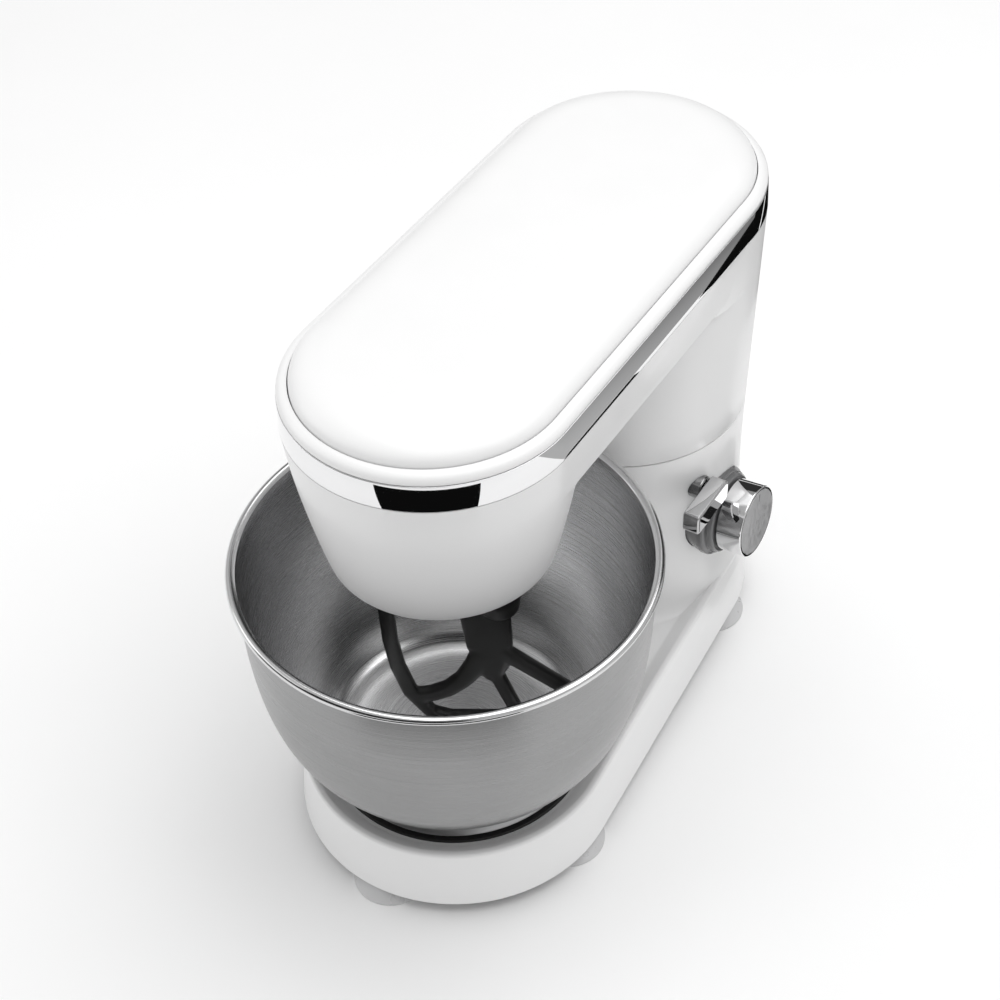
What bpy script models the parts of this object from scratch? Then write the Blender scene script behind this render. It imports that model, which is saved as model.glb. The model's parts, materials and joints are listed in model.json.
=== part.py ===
"""Tilt-head stand mixer, built from separate pieces at their real size.

Run with: blender --background --python part.py
The frame is +Z up, -Y towards the bowl, +X towards the speed knob, with the
origin under the middle of the machine on the surface it stands on.
Sizes below are in millimetres; the meshes are written in metres.
"""
import math

import bmesh
import bpy
from mathutils import Matrix, Vector

MM = 0.001
GAP = 0.3                      # clearance kept between pieces that touch

# Driving dimensions
MIX_Y = -76.0                  # mixing axis: bowl, nose and planet drive
COLUMN_Y = 107.15              # centre of the column at the head seam
BASE_REAR_Y = 110.5            # centre of the base's rear end
HEAD_FRONT_Y = -77.0           # centre of the head's round front end
HEAD_REAR_Y = 112.45           # centre of the head's round rear end
BASE_FRONT_R = 88.0            # base outline, front end
BASE_REAR_R = 75.5             # base outline, rear end
BASE_LOW = 9.0                 # underside of the base
DECK_Z = 41.5                  # flat of the deck that the bowl stands on
BASE_TOP = 47.0                # rolled edge around the deck
WALL = 3.5                     # plastic wall of base and head
SEAM_Z = 160.0                 # joint between column and head
NOSE_LOW = 197.4               # lower rim of the head's nose
ARM_LOW = 251.0                # underside of the arm
BAND_LOW = 283.2               # chrome band, lower edge
BAND_HIGH = 298.1              # chrome band, upper edge
BEAD_HIGH = 303.7              # top of the white bead above the band
HEAD_TOP = 313.4               # crown of the top cover
RIM_R = 110.0                  # outside of the bowl's rolled rim
RIM_Z = 183.7                  # middle of the rolled rim

# Tilting head
TILT_Y = 158.0                 # hinge pin behind the column's centre
TILT_Z = 176.0
TILT_MAX = math.radians(35.0)
PIN_R = 4.0

# Planet drive: ring gear fixed in the nose, planet gear on the tool shaft
MODULE = 2.0
RING_TEETH = 38
PLANET_TEETH = 12
ECCENTRIC = MODULE * (RING_TEETH - PLANET_TEETH) / 2
PLANET_ANGLE = math.radians(40.0)
TOOL_X = ECCENTRIC * math.cos(PLANET_ANGLE)
TOOL_Y = MIX_Y + ECCENTRIC * math.sin(PLANET_ANGLE)
BEATER_ANGLE = math.radians(30.0)
GEAR_LOW = 212.0
GEAR_HIGH = 222.0

# Belt drive from the motor in the column to the pulley over the nose
MOTOR_Y = 108.0
BELT_LOW = 268.0
BELT_HIGH = 277.0
LARGE_PULLEY_R = 38.0
MOTOR_PULLEY_R = 9.5

# Speed knob on the column's right side, its axis tipped up a little
KNOB_FACE = Vector((92.5, 97.95, 103.5))
KNOB_PITCH = math.radians(4.07)
KNOB_R = 21.0

# Head lock lever in front of the knob
LEVER = Vector((62.7, 80.4, 132.2))
LEVER_LENGTH = 36.0
LEVER_HEIGHT = 13.0
LEVER_REAR = 6.1
LEVER_INNER = 6.2
LEVER_OUTER = 16.2
LEVER_CORNER = 2.6
LEVER_EDGE = 0.9


def clear_scene():
    """Remove every object that the file holds."""
    for old in list(bpy.data.objects):
        bpy.data.objects.remove(old, do_unlink=True)


# ---------------------------------------------------------------- materials

def material(name, colour, roughness, metallic=0.0):
    """Principled material of one colour."""
    mat = bpy.data.materials.get(name)
    if mat:
        return mat
    mat = bpy.data.materials.new(name)
    mat.use_nodes = True
    shader = mat.node_tree.nodes["Principled BSDF"]
    shader.inputs["Base Color"].default_value = (*colour, 1.0)
    shader.inputs["Roughness"].default_value = roughness
    shader.inputs["Metallic"].default_value = metallic
    return mat


def white_plastic():
    return material("white_plastic", (0.85, 0.85, 0.85), 0.2)


def chrome():
    return material("chrome", (0.8, 0.8, 0.82), 0.06, 1.0)


def steel():
    return material("steel", (0.55, 0.55, 0.56), 0.3, 1.0)


def bright_steel():
    return material("bright_steel", (0.7, 0.7, 0.71), 0.15, 1.0)


def black_plastic():
    return material("black_plastic", (0.012, 0.012, 0.012), 0.4)


def grey_plastic():
    return material("grey_plastic", (0.1, 0.1, 0.11), 0.35)


def clear_rubber():
    return material("clear_rubber", (0.6, 0.61, 0.62), 0.4)


def black_rubber():
    return material("black_rubber", (0.02, 0.02, 0.02), 0.7)


def knob_face_grey():
    return material("knob_face_grey", (0.3, 0.3, 0.31), 0.45, 0.6)


def copper():
    return material("copper", (0.7, 0.33, 0.15), 0.35, 1.0)


def circuit_green():
    return material("circuit_green", (0.02, 0.16, 0.06), 0.5)


def nylon():
    return material("nylon", (0.75, 0.73, 0.65), 0.45)


# ---------------------------------------------------------------- mesh tools

def finish(name, bm, mat, sharp_deg=35.0):
    """Turn a bmesh in millimetres into an object with outward faces."""
    bmesh.ops.recalc_face_normals(bm, faces=bm.faces)
    bmesh.ops.scale(bm, vec=(MM, MM, MM), verts=bm.verts)
    mesh = bpy.data.meshes.new(name)
    bm.to_mesh(mesh)
    bm.free()
    mesh.shade_smooth()
    mesh.set_sharp_from_angle(angle=math.radians(sharp_deg))
    obj = bpy.data.objects.new(name, mesh)
    bpy.context.scene.collection.objects.link(obj)
    obj.data.materials.append(mat)
    return obj


def rings_to_solid(name, rings, mat, closed=False):
    """Skin equal rings of points; end rings are capped, or joined if closed."""
    bm = bmesh.new()
    loops = []
    for ring in rings:
        loops.append([bm.verts.new(point) for point in ring])
    if closed:
        loops.append(loops[0])
    for low, high in zip(loops, loops[1:]):
        count = len(low)
        for i in range(count):
            j = (i + 1) % count
            bm.faces.new((low[i], low[j], high[j], high[i]))
    if not closed:
        bm.faces.new(loops[0])
        bm.faces.new(loops[-1])
    return finish(name, bm, mat)


def circle(x, y, z, radius, count):
    """Points of a level circle."""
    return [
        (x + radius * math.cos(2 * math.pi * i / count),
         y + radius * math.sin(2 * math.pi * i / count), z)
        for i in range(count)
    ]


def outline(front_y, front_r, rear_y, rear_r, z, arc=14):
    """Level outline of two circles on the Y axis and their outer tangents."""
    lean = math.asin((front_r - rear_r) / (rear_y - front_y))
    points = []
    for i in range(arc + 1):
        turn = lean + (math.pi - 2 * lean) * i / arc
        points.append((rear_r * math.cos(turn), rear_y + rear_r * math.sin(turn), z))
    for i in range(arc + 1):
        turn = math.pi - lean + (math.pi + 2 * lean) * i / arc
        points.append((front_r * math.cos(turn), front_y + front_r * math.sin(turn), z))
    return points


def turned(name, profile, mat, x=0.0, y=0.0, count=32, closed=True):
    """Solid of revolution about a vertical axis; profile is (radius, z)."""
    bm = bmesh.new()
    loops = []
    for radius, z in profile:
        if radius == 0:
            loops.append([bm.verts.new((x, y, z))])
        else:
            loops.append([bm.verts.new(p) for p in circle(x, y, z, radius, count)])
    pairs = list(zip(loops, loops[1:]))
    if closed and profile[0][0] > 0:
        pairs.append((loops[-1], loops[0]))
    for low, high in pairs:
        for i in range(count):
            j = (i + 1) % count
            if len(low) == 1:
                bm.faces.new((low[0], high[j], high[i]))
            elif len(high) == 1:
                bm.faces.new((low[i], low[j], high[0]))
            else:
                bm.faces.new((low[i], low[j], high[j], high[i]))
    return finish(name, bm, mat)


def rod(name, radius, low, high, mat, x=0.0, y=0.0, count=20):
    """Plain vertical round rod."""
    profile = [(0, low), (radius, low), (radius, high), (0, high)]
    return turned(name, profile, mat, x, y, count)


def tube(name, outer, inner, low, high, mat, x=0.0, y=0.0, count=24):
    """Plain vertical round tube."""
    profile = [(inner, low), (outer, low), (outer, high), (inner, high)]
    return turned(name, profile, mat, x, y, count)


def box(name, low, high, mat):
    """Square-edged block between two corners."""
    bm = bmesh.new()
    bmesh.ops.create_cube(bm, size=1.0)
    size = [h - l for l, h in zip(low, high)]
    middle = [(h + l) / 2 for l, h in zip(low, high)]
    bmesh.ops.scale(bm, vec=size, verts=bm.verts)
    bmesh.ops.translate(bm, vec=middle, verts=bm.verts)
    return finish(name, bm, mat)


def boolean(obj, other, operation):
    """Cut or join with another object, which stays as a hidden guide."""
    other.hide_render = True
    other.display_type = "WIRE"
    mod = obj.modifiers.new(other.name, "BOOLEAN")
    mod.operation = operation
    mod.solver = "EXACT"
    mod.object = other
    return obj


def cut(obj, other):
    return boolean(obj, other, "DIFFERENCE")


def join(obj, other):
    return boolean(obj, other, "UNION")


def turn_mesh(obj, matrix):
    """Move an object's own mesh by a matrix given in millimetres."""
    scaled = matrix.copy()
    scaled.translation = scaled.translation * MM
    obj.data.transform(scaled)
    return obj


def aim(point, direction):
    """Matrix that lays +Z along a direction and the origin on a point."""
    turn = Vector(direction).to_track_quat("Z", "Y").to_matrix().to_4x4()
    return Matrix.Translation(Vector(point)) @ turn


def body(name, pivot):
    """Empty on a joint's axis, which carries the pieces of one body."""
    empty = bpy.data.objects.new(name + "_axis", None)
    empty.location = Vector(pivot) * MM
    empty.empty_display_size = 0.02
    bpy.context.scene.collection.objects.link(empty)
    return empty


def carry(empty, *pieces):
    """Parent pieces to a body's empty, leaving them where they are."""
    for piece in pieces:
        piece.data.transform(Matrix.Translation(-empty.location))
        piece.parent = empty
        for mod in piece.modifiers:
            if mod.type == "BOOLEAN":
                carry_guide(empty, mod.object)


def carry_guide(empty, guide):
    """Keep a cutter beside the piece that it cuts."""
    if guide.parent is None:
        carry(empty, guide)


# ---------------------------------------------------------------- base

def column_ring(z, arc=14, shrink=0.0, front_flare=0.0):
    """Outline of the lower column at one height."""
    heights = [38.0, 47.0, 60.0, 80.0, 100.0, 130.0, SEAM_Z]
    radii = [73.0, 71.4, 70.2, 69.5, 69.2, 69.1, 69.9]
    centres = [110.5, 110.5, 109.2, 108.0, 107.4, COLUMN_Y, COLUMN_Y]
    k = 0
    while k < len(heights) - 2 and z > heights[k + 1]:
        k += 1
    t = (z - heights[k]) / (heights[k + 1] - heights[k])
    radius = radii[k] + (radii[k + 1] - radii[k]) * t - shrink
    centre = centres[k] + (centres[k + 1] - centres[k]) * t
    return outline(centre - front_flare - 0.01, radius, centre, radius, z, arc)


def base_outline(z, inset, arc=14):
    """Base outline at one height, drawn in by an inset."""
    return outline(MIX_Y, BASE_FRONT_R - inset, BASE_REAR_Y, BASE_REAR_R - inset, z, arc)


SCREW_PLACES = ((-50, -124), (50, -124), (-62, 57), (62, 57))


def base_housing():
    """Base and lower column as one hollow shell, open underneath."""
    draft = 3.3
    rings = [
        base_outline(BASE_LOW, 1.2),
        base_outline(BASE_LOW + 1.5, 0.0),
        base_outline(BASE_TOP - 3.2, draft - 0.3),
        base_outline(BASE_TOP - 0.8, draft + 1.0),
        base_outline(BASE_TOP, draft + 3.6),
        base_outline(BASE_TOP - 1.2, draft + 6.8),
        base_outline(DECK_Z + 1.2, draft + 10.5),
        base_outline(DECK_Z, draft + 12.5),
    ]
    shell = rings_to_solid("base_housing", rings, white_plastic())
    flares = [(38.0, 12.0), (43.0, 9.0), (46.5, 5.5), (51.0, 2.6), (58.0, 0.8), (66.0, 0.0),
              (80.0, 0.0), (100.0, 0.0), (130.0, 0.0), (SEAM_Z - GAP, 0.0)]
    column = rings_to_solid(
        "column_outside", [column_ring(z, front_flare=f) for z, f in flares], white_plastic())
    join(shell, column)
    low = rings_to_solid(
        "base_hollow",
        [base_outline(BASE_LOW - 2, WALL), base_outline(DECK_Z - WALL, draft + WALL)],
        white_plastic())
    cut(shell, low)
    hollow = rings_to_solid(
        "column_hollow",
        [column_ring(z, shrink=WALL) for z in (36.0, 47.0, 80.0, 130.0, SEAM_Z - GAP - WALL)],
        white_plastic())
    cut(shell, hollow)
    slot = box("lock_slot", (26, 60, 150), (42, 85, 170), white_plastic())
    cut(shell, slot)
    knob_hole = rod("knob_hole", 24.7, -45, -10, white_plastic(), count=32)
    turn_mesh(knob_hole, aim(KNOB_FACE, knob_axis()))
    cut(shell, knob_hole)
    lever_hole = rod("lever_hole", 4.9, -12, 8, white_plastic())
    turn_mesh(lever_hole, aim(LEVER, (1, 0, 0)))
    cut(shell, lever_hole)
    gland_hole = rod("gland_hole", 8.3, -12, 12, white_plastic())
    turn_mesh(gland_hole, aim((0, 183, 27), (0, 1, 0)))
    cut(shell, gland_hole)
    for i, (x, y) in enumerate(SCREW_PLACES):
        post = tube("screw_post_%d" % i, 5.0, 2.3, 13.0, DECK_Z - WALL + 0.5, white_plastic(), x, y, 12)
        join(shell, post)
    return shell


def base_plate():
    """Flat cover that closes the base from below."""
    edge = WALL + GAP
    plate = rings_to_solid(
        "base_plate",
        [base_outline(10.0, edge + 0.2), base_outline(12.5, edge + 0.4)],
        grey_plastic())
    for i, (x, y) in enumerate(SCREW_PLACES):
        cut(plate, rod("plate_hole_%d" % i, 2.3, 5, 20, grey_plastic(), x, y, 12))
    return plate


def screw(name, x, y, head_z, length):
    """Pan-head screw with its shank up from its head."""
    profile = [
        (0, head_z - 1.9), (2.2, head_z - 1.7), (3.8, head_z - 0.9), (3.9, head_z),
        (2.0, head_z), (2.0, head_z + length - 1), (0, head_z + length),
    ]
    return turned(name, profile, steel(), x, y, 12)


def foot(name, x, y):
    """Round suction foot with a hollow underside."""
    profile = [
        (0, 4.0), (16.5, 1.6), (19.2, 0.0), (20.5, 0.0), (20.8, 1.2),
        (16.0, 5.6), (13.5, 8.7), (6.0, 8.7), (5.6, 9.7), (0, 9.7),
    ]
    return turned(name, profile, clear_rubber(), x, y, 18)


def bowl_seat():
    """Bayonet ring on the deck that the bowl's foot turns on to."""
    profile = [
        (52.0, DECK_Z + GAP), (71.5, DECK_Z + GAP), (72.0, DECK_Z + 0.8), (71.0, DECK_Z + 1.7),
        (62.5, DECK_Z + 1.7), (62.5, DECK_Z + 4.2), (58.0, DECK_Z + 4.2), (58.0, DECK_Z + 1.5),
        (52.0, DECK_Z + 1.5),
    ]
    return turned("bowl_seat", profile, black_plastic(), 0, MIX_Y, 32)


def cord_gland():
    """Round gland in the rear wall for the mains lead."""
    profile = [
        (3.6, -6.0), (8.0, -6.0), (8.0, 2.0), (7.4, 2.5), (3.6, 2.5),
    ]
    gland = turned("cord_gland", profile, black_rubber(), count=20)
    return turn_mesh(gland, aim((0, 183.3, 27), (0, 1, 0)))


def control_board():
    """Circuit board with its capacitor on posts over the base plate."""
    board = box("control_board", (-30, 55, 17), (30, 125, 18.6), circuit_green())
    join(board, box("board_choke", (-22, 65, 18.5), (-6, 85, 32), circuit_green()))
    join(board, rod("board_capacitor", 7, 18.5, 34, circuit_green(), 14, 78, 16))
    for i, (x, y) in enumerate(((-26, 60), (26, 60), (-26, 120), (26, 120))):
        join(board, rod("board_post_%d" % i, 2.5, 12.8, 17.5, circuit_green(), x, y, 8))
    return board


# ---------------------------------------------------------------- hinge

LUG_X = (24.0, 29.0)


def hinge_bracket(name, side):
    """Lug that stands on the column and holds the hinge pin, leaning forward."""
    low = SEAM_Z - TILT_Z
    arc_points = []
    for i in range(13):
        turn = math.radians(-40 + 220 * i / 12)
        arc_points.append((6.0 * math.cos(turn), 6.0 * math.sin(turn)))
    side_view = arc_points + [(-20.0, low), (-5.5, low)]
    inner, outer = LUG_X
    rings = []
    for x in (inner * side, outer * side):
        rings.append([(x, TILT_Y + y, TILT_Z + z) for y, z in side_view])
    lug = rings_to_solid(name, rings, steel())
    hole = rod(name + "_hole", PIN_R + GAP, 20, 33, steel())
    turn_mesh(hole, aim((0, TILT_Y, TILT_Z), (side, 0, 0)))
    return cut(lug, hole)


def hinge_pin():
    """Pin that the whole head turns on."""
    pin = rod("hinge_pin", PIN_R, -31.5, 31.5, bright_steel())
    return turn_mesh(pin, aim((0, TILT_Y, TILT_Z), (1, 0, 0)))


def hinge_barrel():
    """Barrel on the head's side of the hinge, with the web that carries it."""
    barrel = tube("hinge_barrel", 7.5, PIN_R + GAP, -22.0, 22.0, steel())
    turn_mesh(barrel, aim((0, TILT_Y, TILT_Z), (1, 0, 0)))
    web = box("barrel_web", (-20, TILT_Y - 7, TILT_Z + 5.5), (20, TILT_Y - 2, ARM_LOW + 3), steel())
    join(barrel, web)
    shelf = box("barrel_shelf", (-20, TILT_Y - 26, ARM_LOW - 1), (20, TILT_Y - 2.5, ARM_LOW + 3), steel())
    return join(barrel, shelf)


# ---------------------------------------------------------------- knob and lever

def knob_axis():
    """Direction that the knob faces."""
    return Vector((math.cos(KNOB_PITCH), 0, math.sin(KNOB_PITCH)))


def along_knob(obj):
    """Lay a piece made along +Z onto the knob's axis, its zero on the face."""
    return turn_mesh(obj, aim(KNOB_FACE, knob_axis()))


def speed_knob():
    """Chrome cup of the knob, open behind."""
    r = KNOB_R
    profile = [
        (3.4, -13.0), (6.0, -13.0), (6.0, -3.2), (r - 2.0, -3.2), (r - 2.0, -15.2), (r, -15.2),
        (r, -1.2), (r - 0.4, -0.4), (r - 1.2, -0.1), (r - 1.6, -0.7), (3.4, -0.7),
    ]
    return along_knob(turned("speed_knob", profile, chrome(), count=32))


def knob_face():
    """Flat face disc with a pointer notch, set into the knob."""
    disc = along_knob(rod("knob_face", KNOB_R - 1.9, -0.4, 0.0, knob_face_grey(), count=32))
    notch = box("pointer_notch", (-0.4, KNOB_R - 8.0, -0.2), (0.4, KNOB_R - 4.0, 1.0), knob_face_grey())
    along_knob(notch)
    return cut(disc, notch)


def knob_shaft():
    """Shaft from the knob through the bezel into the switch."""
    return along_knob(rod("knob_shaft", 3.0, -44.0, -1.2, steel(), count=16))


def column_skin(name):
    """Solid of the column a gap larger than it is, which cuts a curved seat."""
    heights = (60.0, 80.0, 100.0, 130.0, 150.0)
    rings = [column_ring(z, arc=22, shrink=-GAP) for z in heights]
    return rings_to_solid(name, rings, grey_plastic())


def knob_bezel():
    """Flared ring that seats the knob on the round column."""
    profile = [
        (4.0, -16.4), (22.4, -16.4), (23.4, -17.0), (24.2, -20.6), (25.8, -21.4), (26.3, -22.4),
        (26.3, -25.0), (22.0, -38.0), (4.0, -38.0),
    ]
    ring = along_knob(turned("knob_bezel", profile, grey_plastic(), count=28))
    cut(ring, column_skin("bezel_seat"))
    neck = tube("bezel_neck", 24.2, 14.0, -33.0, -19.0, grey_plastic(), count=32)
    return join(ring, along_knob(neck))


def speed_switch():
    """Rotary switch behind the knob, inside the column."""
    switch = tube("speed_switch", 11.0, 3.4, -46.0, -34.0, black_plastic(), count=16)
    along_knob(switch)
    collar = tube("switch_collar", 6.0, 3.4, -34.5, -25.0, black_plastic(), count=16)
    along_knob(collar)
    return join(switch, collar)


def lever_bar():
    """Square-ended lever with rounded corners that releases the head, pointing forward."""
    high = LEVER_HEIGHT / 2 - LEVER_CORNER
    rear = LEVER_REAR - LEVER_CORNER
    front = LEVER_REAR - LEVER_LENGTH + LEVER_CORNER
    corners = ((rear, high), (front, high), (front, -high), (rear, -high))
    sections = (
        (LEVER_INNER, LEVER_EDGE), (LEVER_INNER + LEVER_EDGE, 0.0),
        (LEVER_OUTER - LEVER_EDGE, 0.0), (LEVER_OUTER, LEVER_EDGE),
    )
    rings = []
    for x, inset in sections:
        reach = LEVER_CORNER - inset
        ring = []
        for quarter, (y, z) in enumerate(corners):
            for i in range(4):
                turn = math.radians(90 * quarter + 30 * i)
                across = LEVER.y + y + reach * math.cos(turn)
                up = LEVER.z + z + reach * math.sin(turn)
                ring.append((LEVER.x + x, across, up))
        rings.append(ring)
    return rings_to_solid("lock_lever", rings, chrome())


def lever_shaft():
    """Shaft from the lever through the column wall to the lock cam."""
    shaft = rod("lever_shaft", 3.5, 28.0 - LEVER.x, 5.9, bright_steel(), count=16)
    return turn_mesh(shaft, aim(LEVER, (1, 0, 0)))


def lever_collar():
    """Chrome collar around the lever's shaft, through the column wall."""
    profile = [(3.8, -3.0), (6.9, -3.0), (6.9, 3.0), (6.3, 4.6), (5.2, 5.4), (3.8, 5.4)]
    collar = turned("lever_collar", profile, chrome(), count=20)
    turn_mesh(collar, aim(LEVER, (1, 0, 0)))
    cut(collar, column_skin("collar_seat"))
    neck = tube("collar_neck", 4.6, 3.8, -8.0, 4.0, chrome(), count=20)
    return join(collar, turn_mesh(neck, aim(LEVER, (1, 0, 0))))


def lock_cam():
    """Cam whose claw swings into the head's lock tongue."""
    low, high = 31.5, 36.5
    hub = tube("lock_cam", 7.0, 3.8, low, high, steel(), count=16)
    turn_mesh(hub, Matrix.Rotation(math.radians(90), 4, "Y"))
    arm = box("cam_arm", (low, -8.5, 4.5), (high, -5.0, 20.5), steel())
    claw = box("cam_claw", (low, -8.4, 16.5), (high, 3.5, 20.4), steel())
    back = Matrix.Rotation(math.radians(45), 4, "X")
    for part in (arm, claw):
        turn_mesh(part, back)
    for part in (hub, arm, claw):
        turn_mesh(part, Matrix.Translation((0, LEVER.y, LEVER.z)))
    join(hub, arm)
    return join(hub, claw)


def lock_tongue():
    """Tongue under the head with the window that the claw enters."""
    y = LEVER.y - 2.5
    tongue = box("lock_tongue", (28.5, y, 143.0), (40.0, y + 3.0, 161.1), steel())
    window = box("tongue_window", (31.0, y - 5, 147.0), (37.0, y + 8, 153.8), steel())
    return cut(tongue, window)


# ---------------------------------------------------------------- head

def head_column_ring(z, shrink=0.0):
    """Outline of the upper column, which widens up to the band."""
    t = (z - SEAM_Z) / (BAND_LOW - SEAM_Z)
    radius = 69.9 + 2.5 * t - shrink
    centre = COLUMN_Y + (HEAD_REAR_Y - COLUMN_Y) * t
    return circle(0, centre, z, radius, 40)


def head_outline(z, inset, arc=14):
    """Outline of the head from above, drawn in by an inset."""
    r = 72.4 - inset
    return outline(HEAD_FRONT_Y, r, HEAD_REAR_Y, r, z, arc)


def nose_ring(z, shrink=0.0):
    """Circle of the nose at one height."""
    heights = [NOSE_LOW, 199.0, 203.0, 215.0, 235.0, 260.0, BAND_LOW]
    radii = [57.2, 57.9, 58.8, 61.5, 65.6, 69.8, 72.4]
    k = 0
    while k < len(heights) - 2 and z > heights[k + 1]:
        k += 1
    t = (z - heights[k]) / (heights[k + 1] - heights[k])
    radius = radii[k] + (radii[k + 1] - radii[k]) * t - shrink
    return circle(0, HEAD_FRONT_Y, z, radius, 40)


def tilt_clearance():
    """Prism outside which the shell's rear edge rolls clear of the column as the head tilts."""
    depth = TILT_Z - SEAM_Z - GAP
    last = TILT_MAX + math.radians(0.5)
    steps = 6
    side = []
    for i in range(steps + 1):
        turn = last * i / steps
        side.append((depth * math.sin(turn), -depth * math.cos(turn)))
    reach = 60.0
    side.append((side[-1][0] + reach * math.cos(last), side[-1][1] + reach * math.sin(last)))
    side.append((side[-1][0], -reach))
    side.append((0.0, -reach))
    half_width = 80.0
    rings = []
    for x in (-half_width, half_width):
        rings.append([(x, TILT_Y + y, TILT_Z + z) for y, z in side])
    return rings_to_solid("tilt_clearance", rings, white_plastic())


def head_shell():
    """Nose, arm and upper column as one shell, open at the top."""
    arm = [
        head_outline(ARM_LOW, 7.6), head_outline(ARM_LOW + 0.9, 5.3),
        head_outline(ARM_LOW + 3, 3.9), head_outline(260.0, 2.7), head_outline(BAND_LOW, 0.05),
    ]
    shell = rings_to_solid("head_shell", arm, white_plastic())
    nose_heights = (NOSE_LOW, 199.0, 203.0, 215.0, 235.0, 260.0, BAND_LOW)
    nose = rings_to_solid("nose_outside", [nose_ring(z) for z in nose_heights], white_plastic())
    join(shell, nose)
    column = rings_to_solid(
        "upper_column", [head_column_ring(z) for z in (SEAM_Z + GAP, 220.0, BAND_LOW)], white_plastic())
    join(shell, column)
    room = rings_to_solid(
        "arm_hollow", [head_outline(ARM_LOW + 3, 7.4), head_outline(BAND_LOW + 5, WALL)], white_plastic())
    cut(shell, room)
    throat = rings_to_solid(
        "nose_hollow", [nose_ring(z, WALL) for z in (NOSE_LOW - 3, 203.0, 235.0, 270.0)], white_plastic())
    cut(shell, throat)
    shaft = rings_to_solid(
        "column_room", [head_column_ring(z, WALL) for z in (SEAM_Z - 5, 275.0)], white_plastic())
    cut(shell, shaft)
    cut(shell, tilt_clearance())
    return shell


def head_ring(name, levels, mat):
    """Closed ring that follows the head's outline; levels are (z, inset)."""
    return rings_to_solid(name, [head_outline(z, inset) for z, inset in levels], mat, closed=True)


def chrome_band():
    """Bright band around the head."""
    levels = [
        (BAND_LOW + GAP, 0.0), (BAND_HIGH, 0.5), (BAND_HIGH, 3.2), (BAND_LOW + GAP, 3.2),
    ]
    return head_ring("chrome_band", levels, chrome())


def cover_rim():
    """White quarter-round bead between the band and the top cover."""
    low = BAND_HIGH + GAP
    levels = [
        (low, 0.5), (300.4, 0.9), (302.3, 2.2), (303.4, 4.2), (BEAD_HIGH, 6.2), (low, 6.2),
    ]
    return head_ring("cover_rim", levels, white_plastic())


def top_cover():
    """Domed cover over the whole head."""
    outside = [
        (BAND_HIGH + GAP, 6.7), (303.4, 6.7), (306.8, 8.6), (309.8, 12.6), (311.8, 18.5),
        (312.9, 27.0), (HEAD_TOP, 60.0),
    ]
    inside = [
        (HEAD_TOP - 3.0, 60.0), (309.6, 28.0), (306.0, 13.0), (302.0, 9.7), (BAND_HIGH + GAP, 9.7),
    ]
    bm = bmesh.new()
    loops = [[bm.verts.new(p) for p in head_outline(z, inset)] for z, inset in outside]
    under = [[bm.verts.new(p) for p in head_outline(z, inset)] for z, inset in inside]
    rows = loops + [None] + under
    for low, high in zip(rows, rows[1:]):
        if low is None or high is None:
            continue
        for i in range(len(low)):
            j = (i + 1) % len(low)
            bm.faces.new((low[i], low[j], high[j], high[i]))
    for i in range(len(loops[0])):
        j = (i + 1) % len(loops[0])
        bm.faces.new((under[-1][i], under[-1][j], loops[0][j], loops[0][i]))
    bm.faces.new(loops[-1])
    bm.faces.new(under[0])
    return finish("top_cover", bm, white_plastic())


def head_frame():
    """Metal plate in the arm that carries motor, bearings and hinge."""
    low, high = ARM_LOW + 3 + GAP, ARM_LOW + 6.3
    plate = rings_to_solid(
        "head_frame", [head_outline(low, 9.0), head_outline(high, 9.0)], steel())
    cut(plate, rod("hub_hole", 16.4, 240, 280, steel(), 0, MIX_Y, 32))
    cut(plate, rod("motor_hole", 12.0, 240, 280, steel(), 0, MOTOR_Y, 24))
    return plate


def column_cover():
    """Plate that closes the head's column from below, notched for the hinge."""
    ring = head_column_ring(SEAM_Z + 1.4, WALL + 0.5)
    top = head_column_ring(SEAM_Z + 3.4, WALL + 0.5)
    plate = rings_to_solid("column_cover", [ring, top], white_plastic())
    notch = box("hinge_notch", (-40, 132, 150), (40, 190, 175), white_plastic())
    cut(plate, notch)
    return plate


def gear_case():
    """Cup over the nose's gears, with the hub for the main bearings."""
    profile = [
        (46.8, 209.0), (49.5, 209.0), (49.5, 249.0), (16.0, 249.0), (16.0, 262.0), (12.3, 262.0),
        (12.3, 228.0), (16.0, 228.0), (16.0, 246.0), (46.8, 246.0),
    ]
    return turned("gear_case", profile, steel(), 0, MIX_Y, 32)


def bearing(name, x, y, low, high, inner, outer):
    """Ball bearing drawn as one grooved ring."""
    middle = (inner + outer) / 2
    profile = [
        (inner, low), (middle, low + 0.6), (outer, low), (outer, high), (middle, high - 0.6),
        (inner, high),
    ]
    return turned(name, profile, bright_steel(), x, y, 20)


# ---------------------------------------------------------------- gears

def tooth_ring(teeth, tip_r, root_r, x, y, z, phase):
    """Outline of a gear with stub teeth, four points to a tooth."""
    pitch = 2 * math.pi / teeth
    points = []
    for i in range(teeth):
        middle = phase + pitch * i
        for share, radius in ((-0.27, root_r), (-0.13, tip_r), (0.13, tip_r), (0.27, root_r)):
            turn = middle + pitch * share
            points.append((x + radius * math.cos(turn), y + radius * math.sin(turn), z))
    return points


def like_circle(points, x, y, radius):
    """Circle with a point under each point of another ring about the same centre."""
    ring = []
    for px, py, pz in points:
        turn = math.atan2(py - y, px - x)
        ring.append((x + radius * math.cos(turn), y + radius * math.sin(turn), pz))
    return ring


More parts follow.
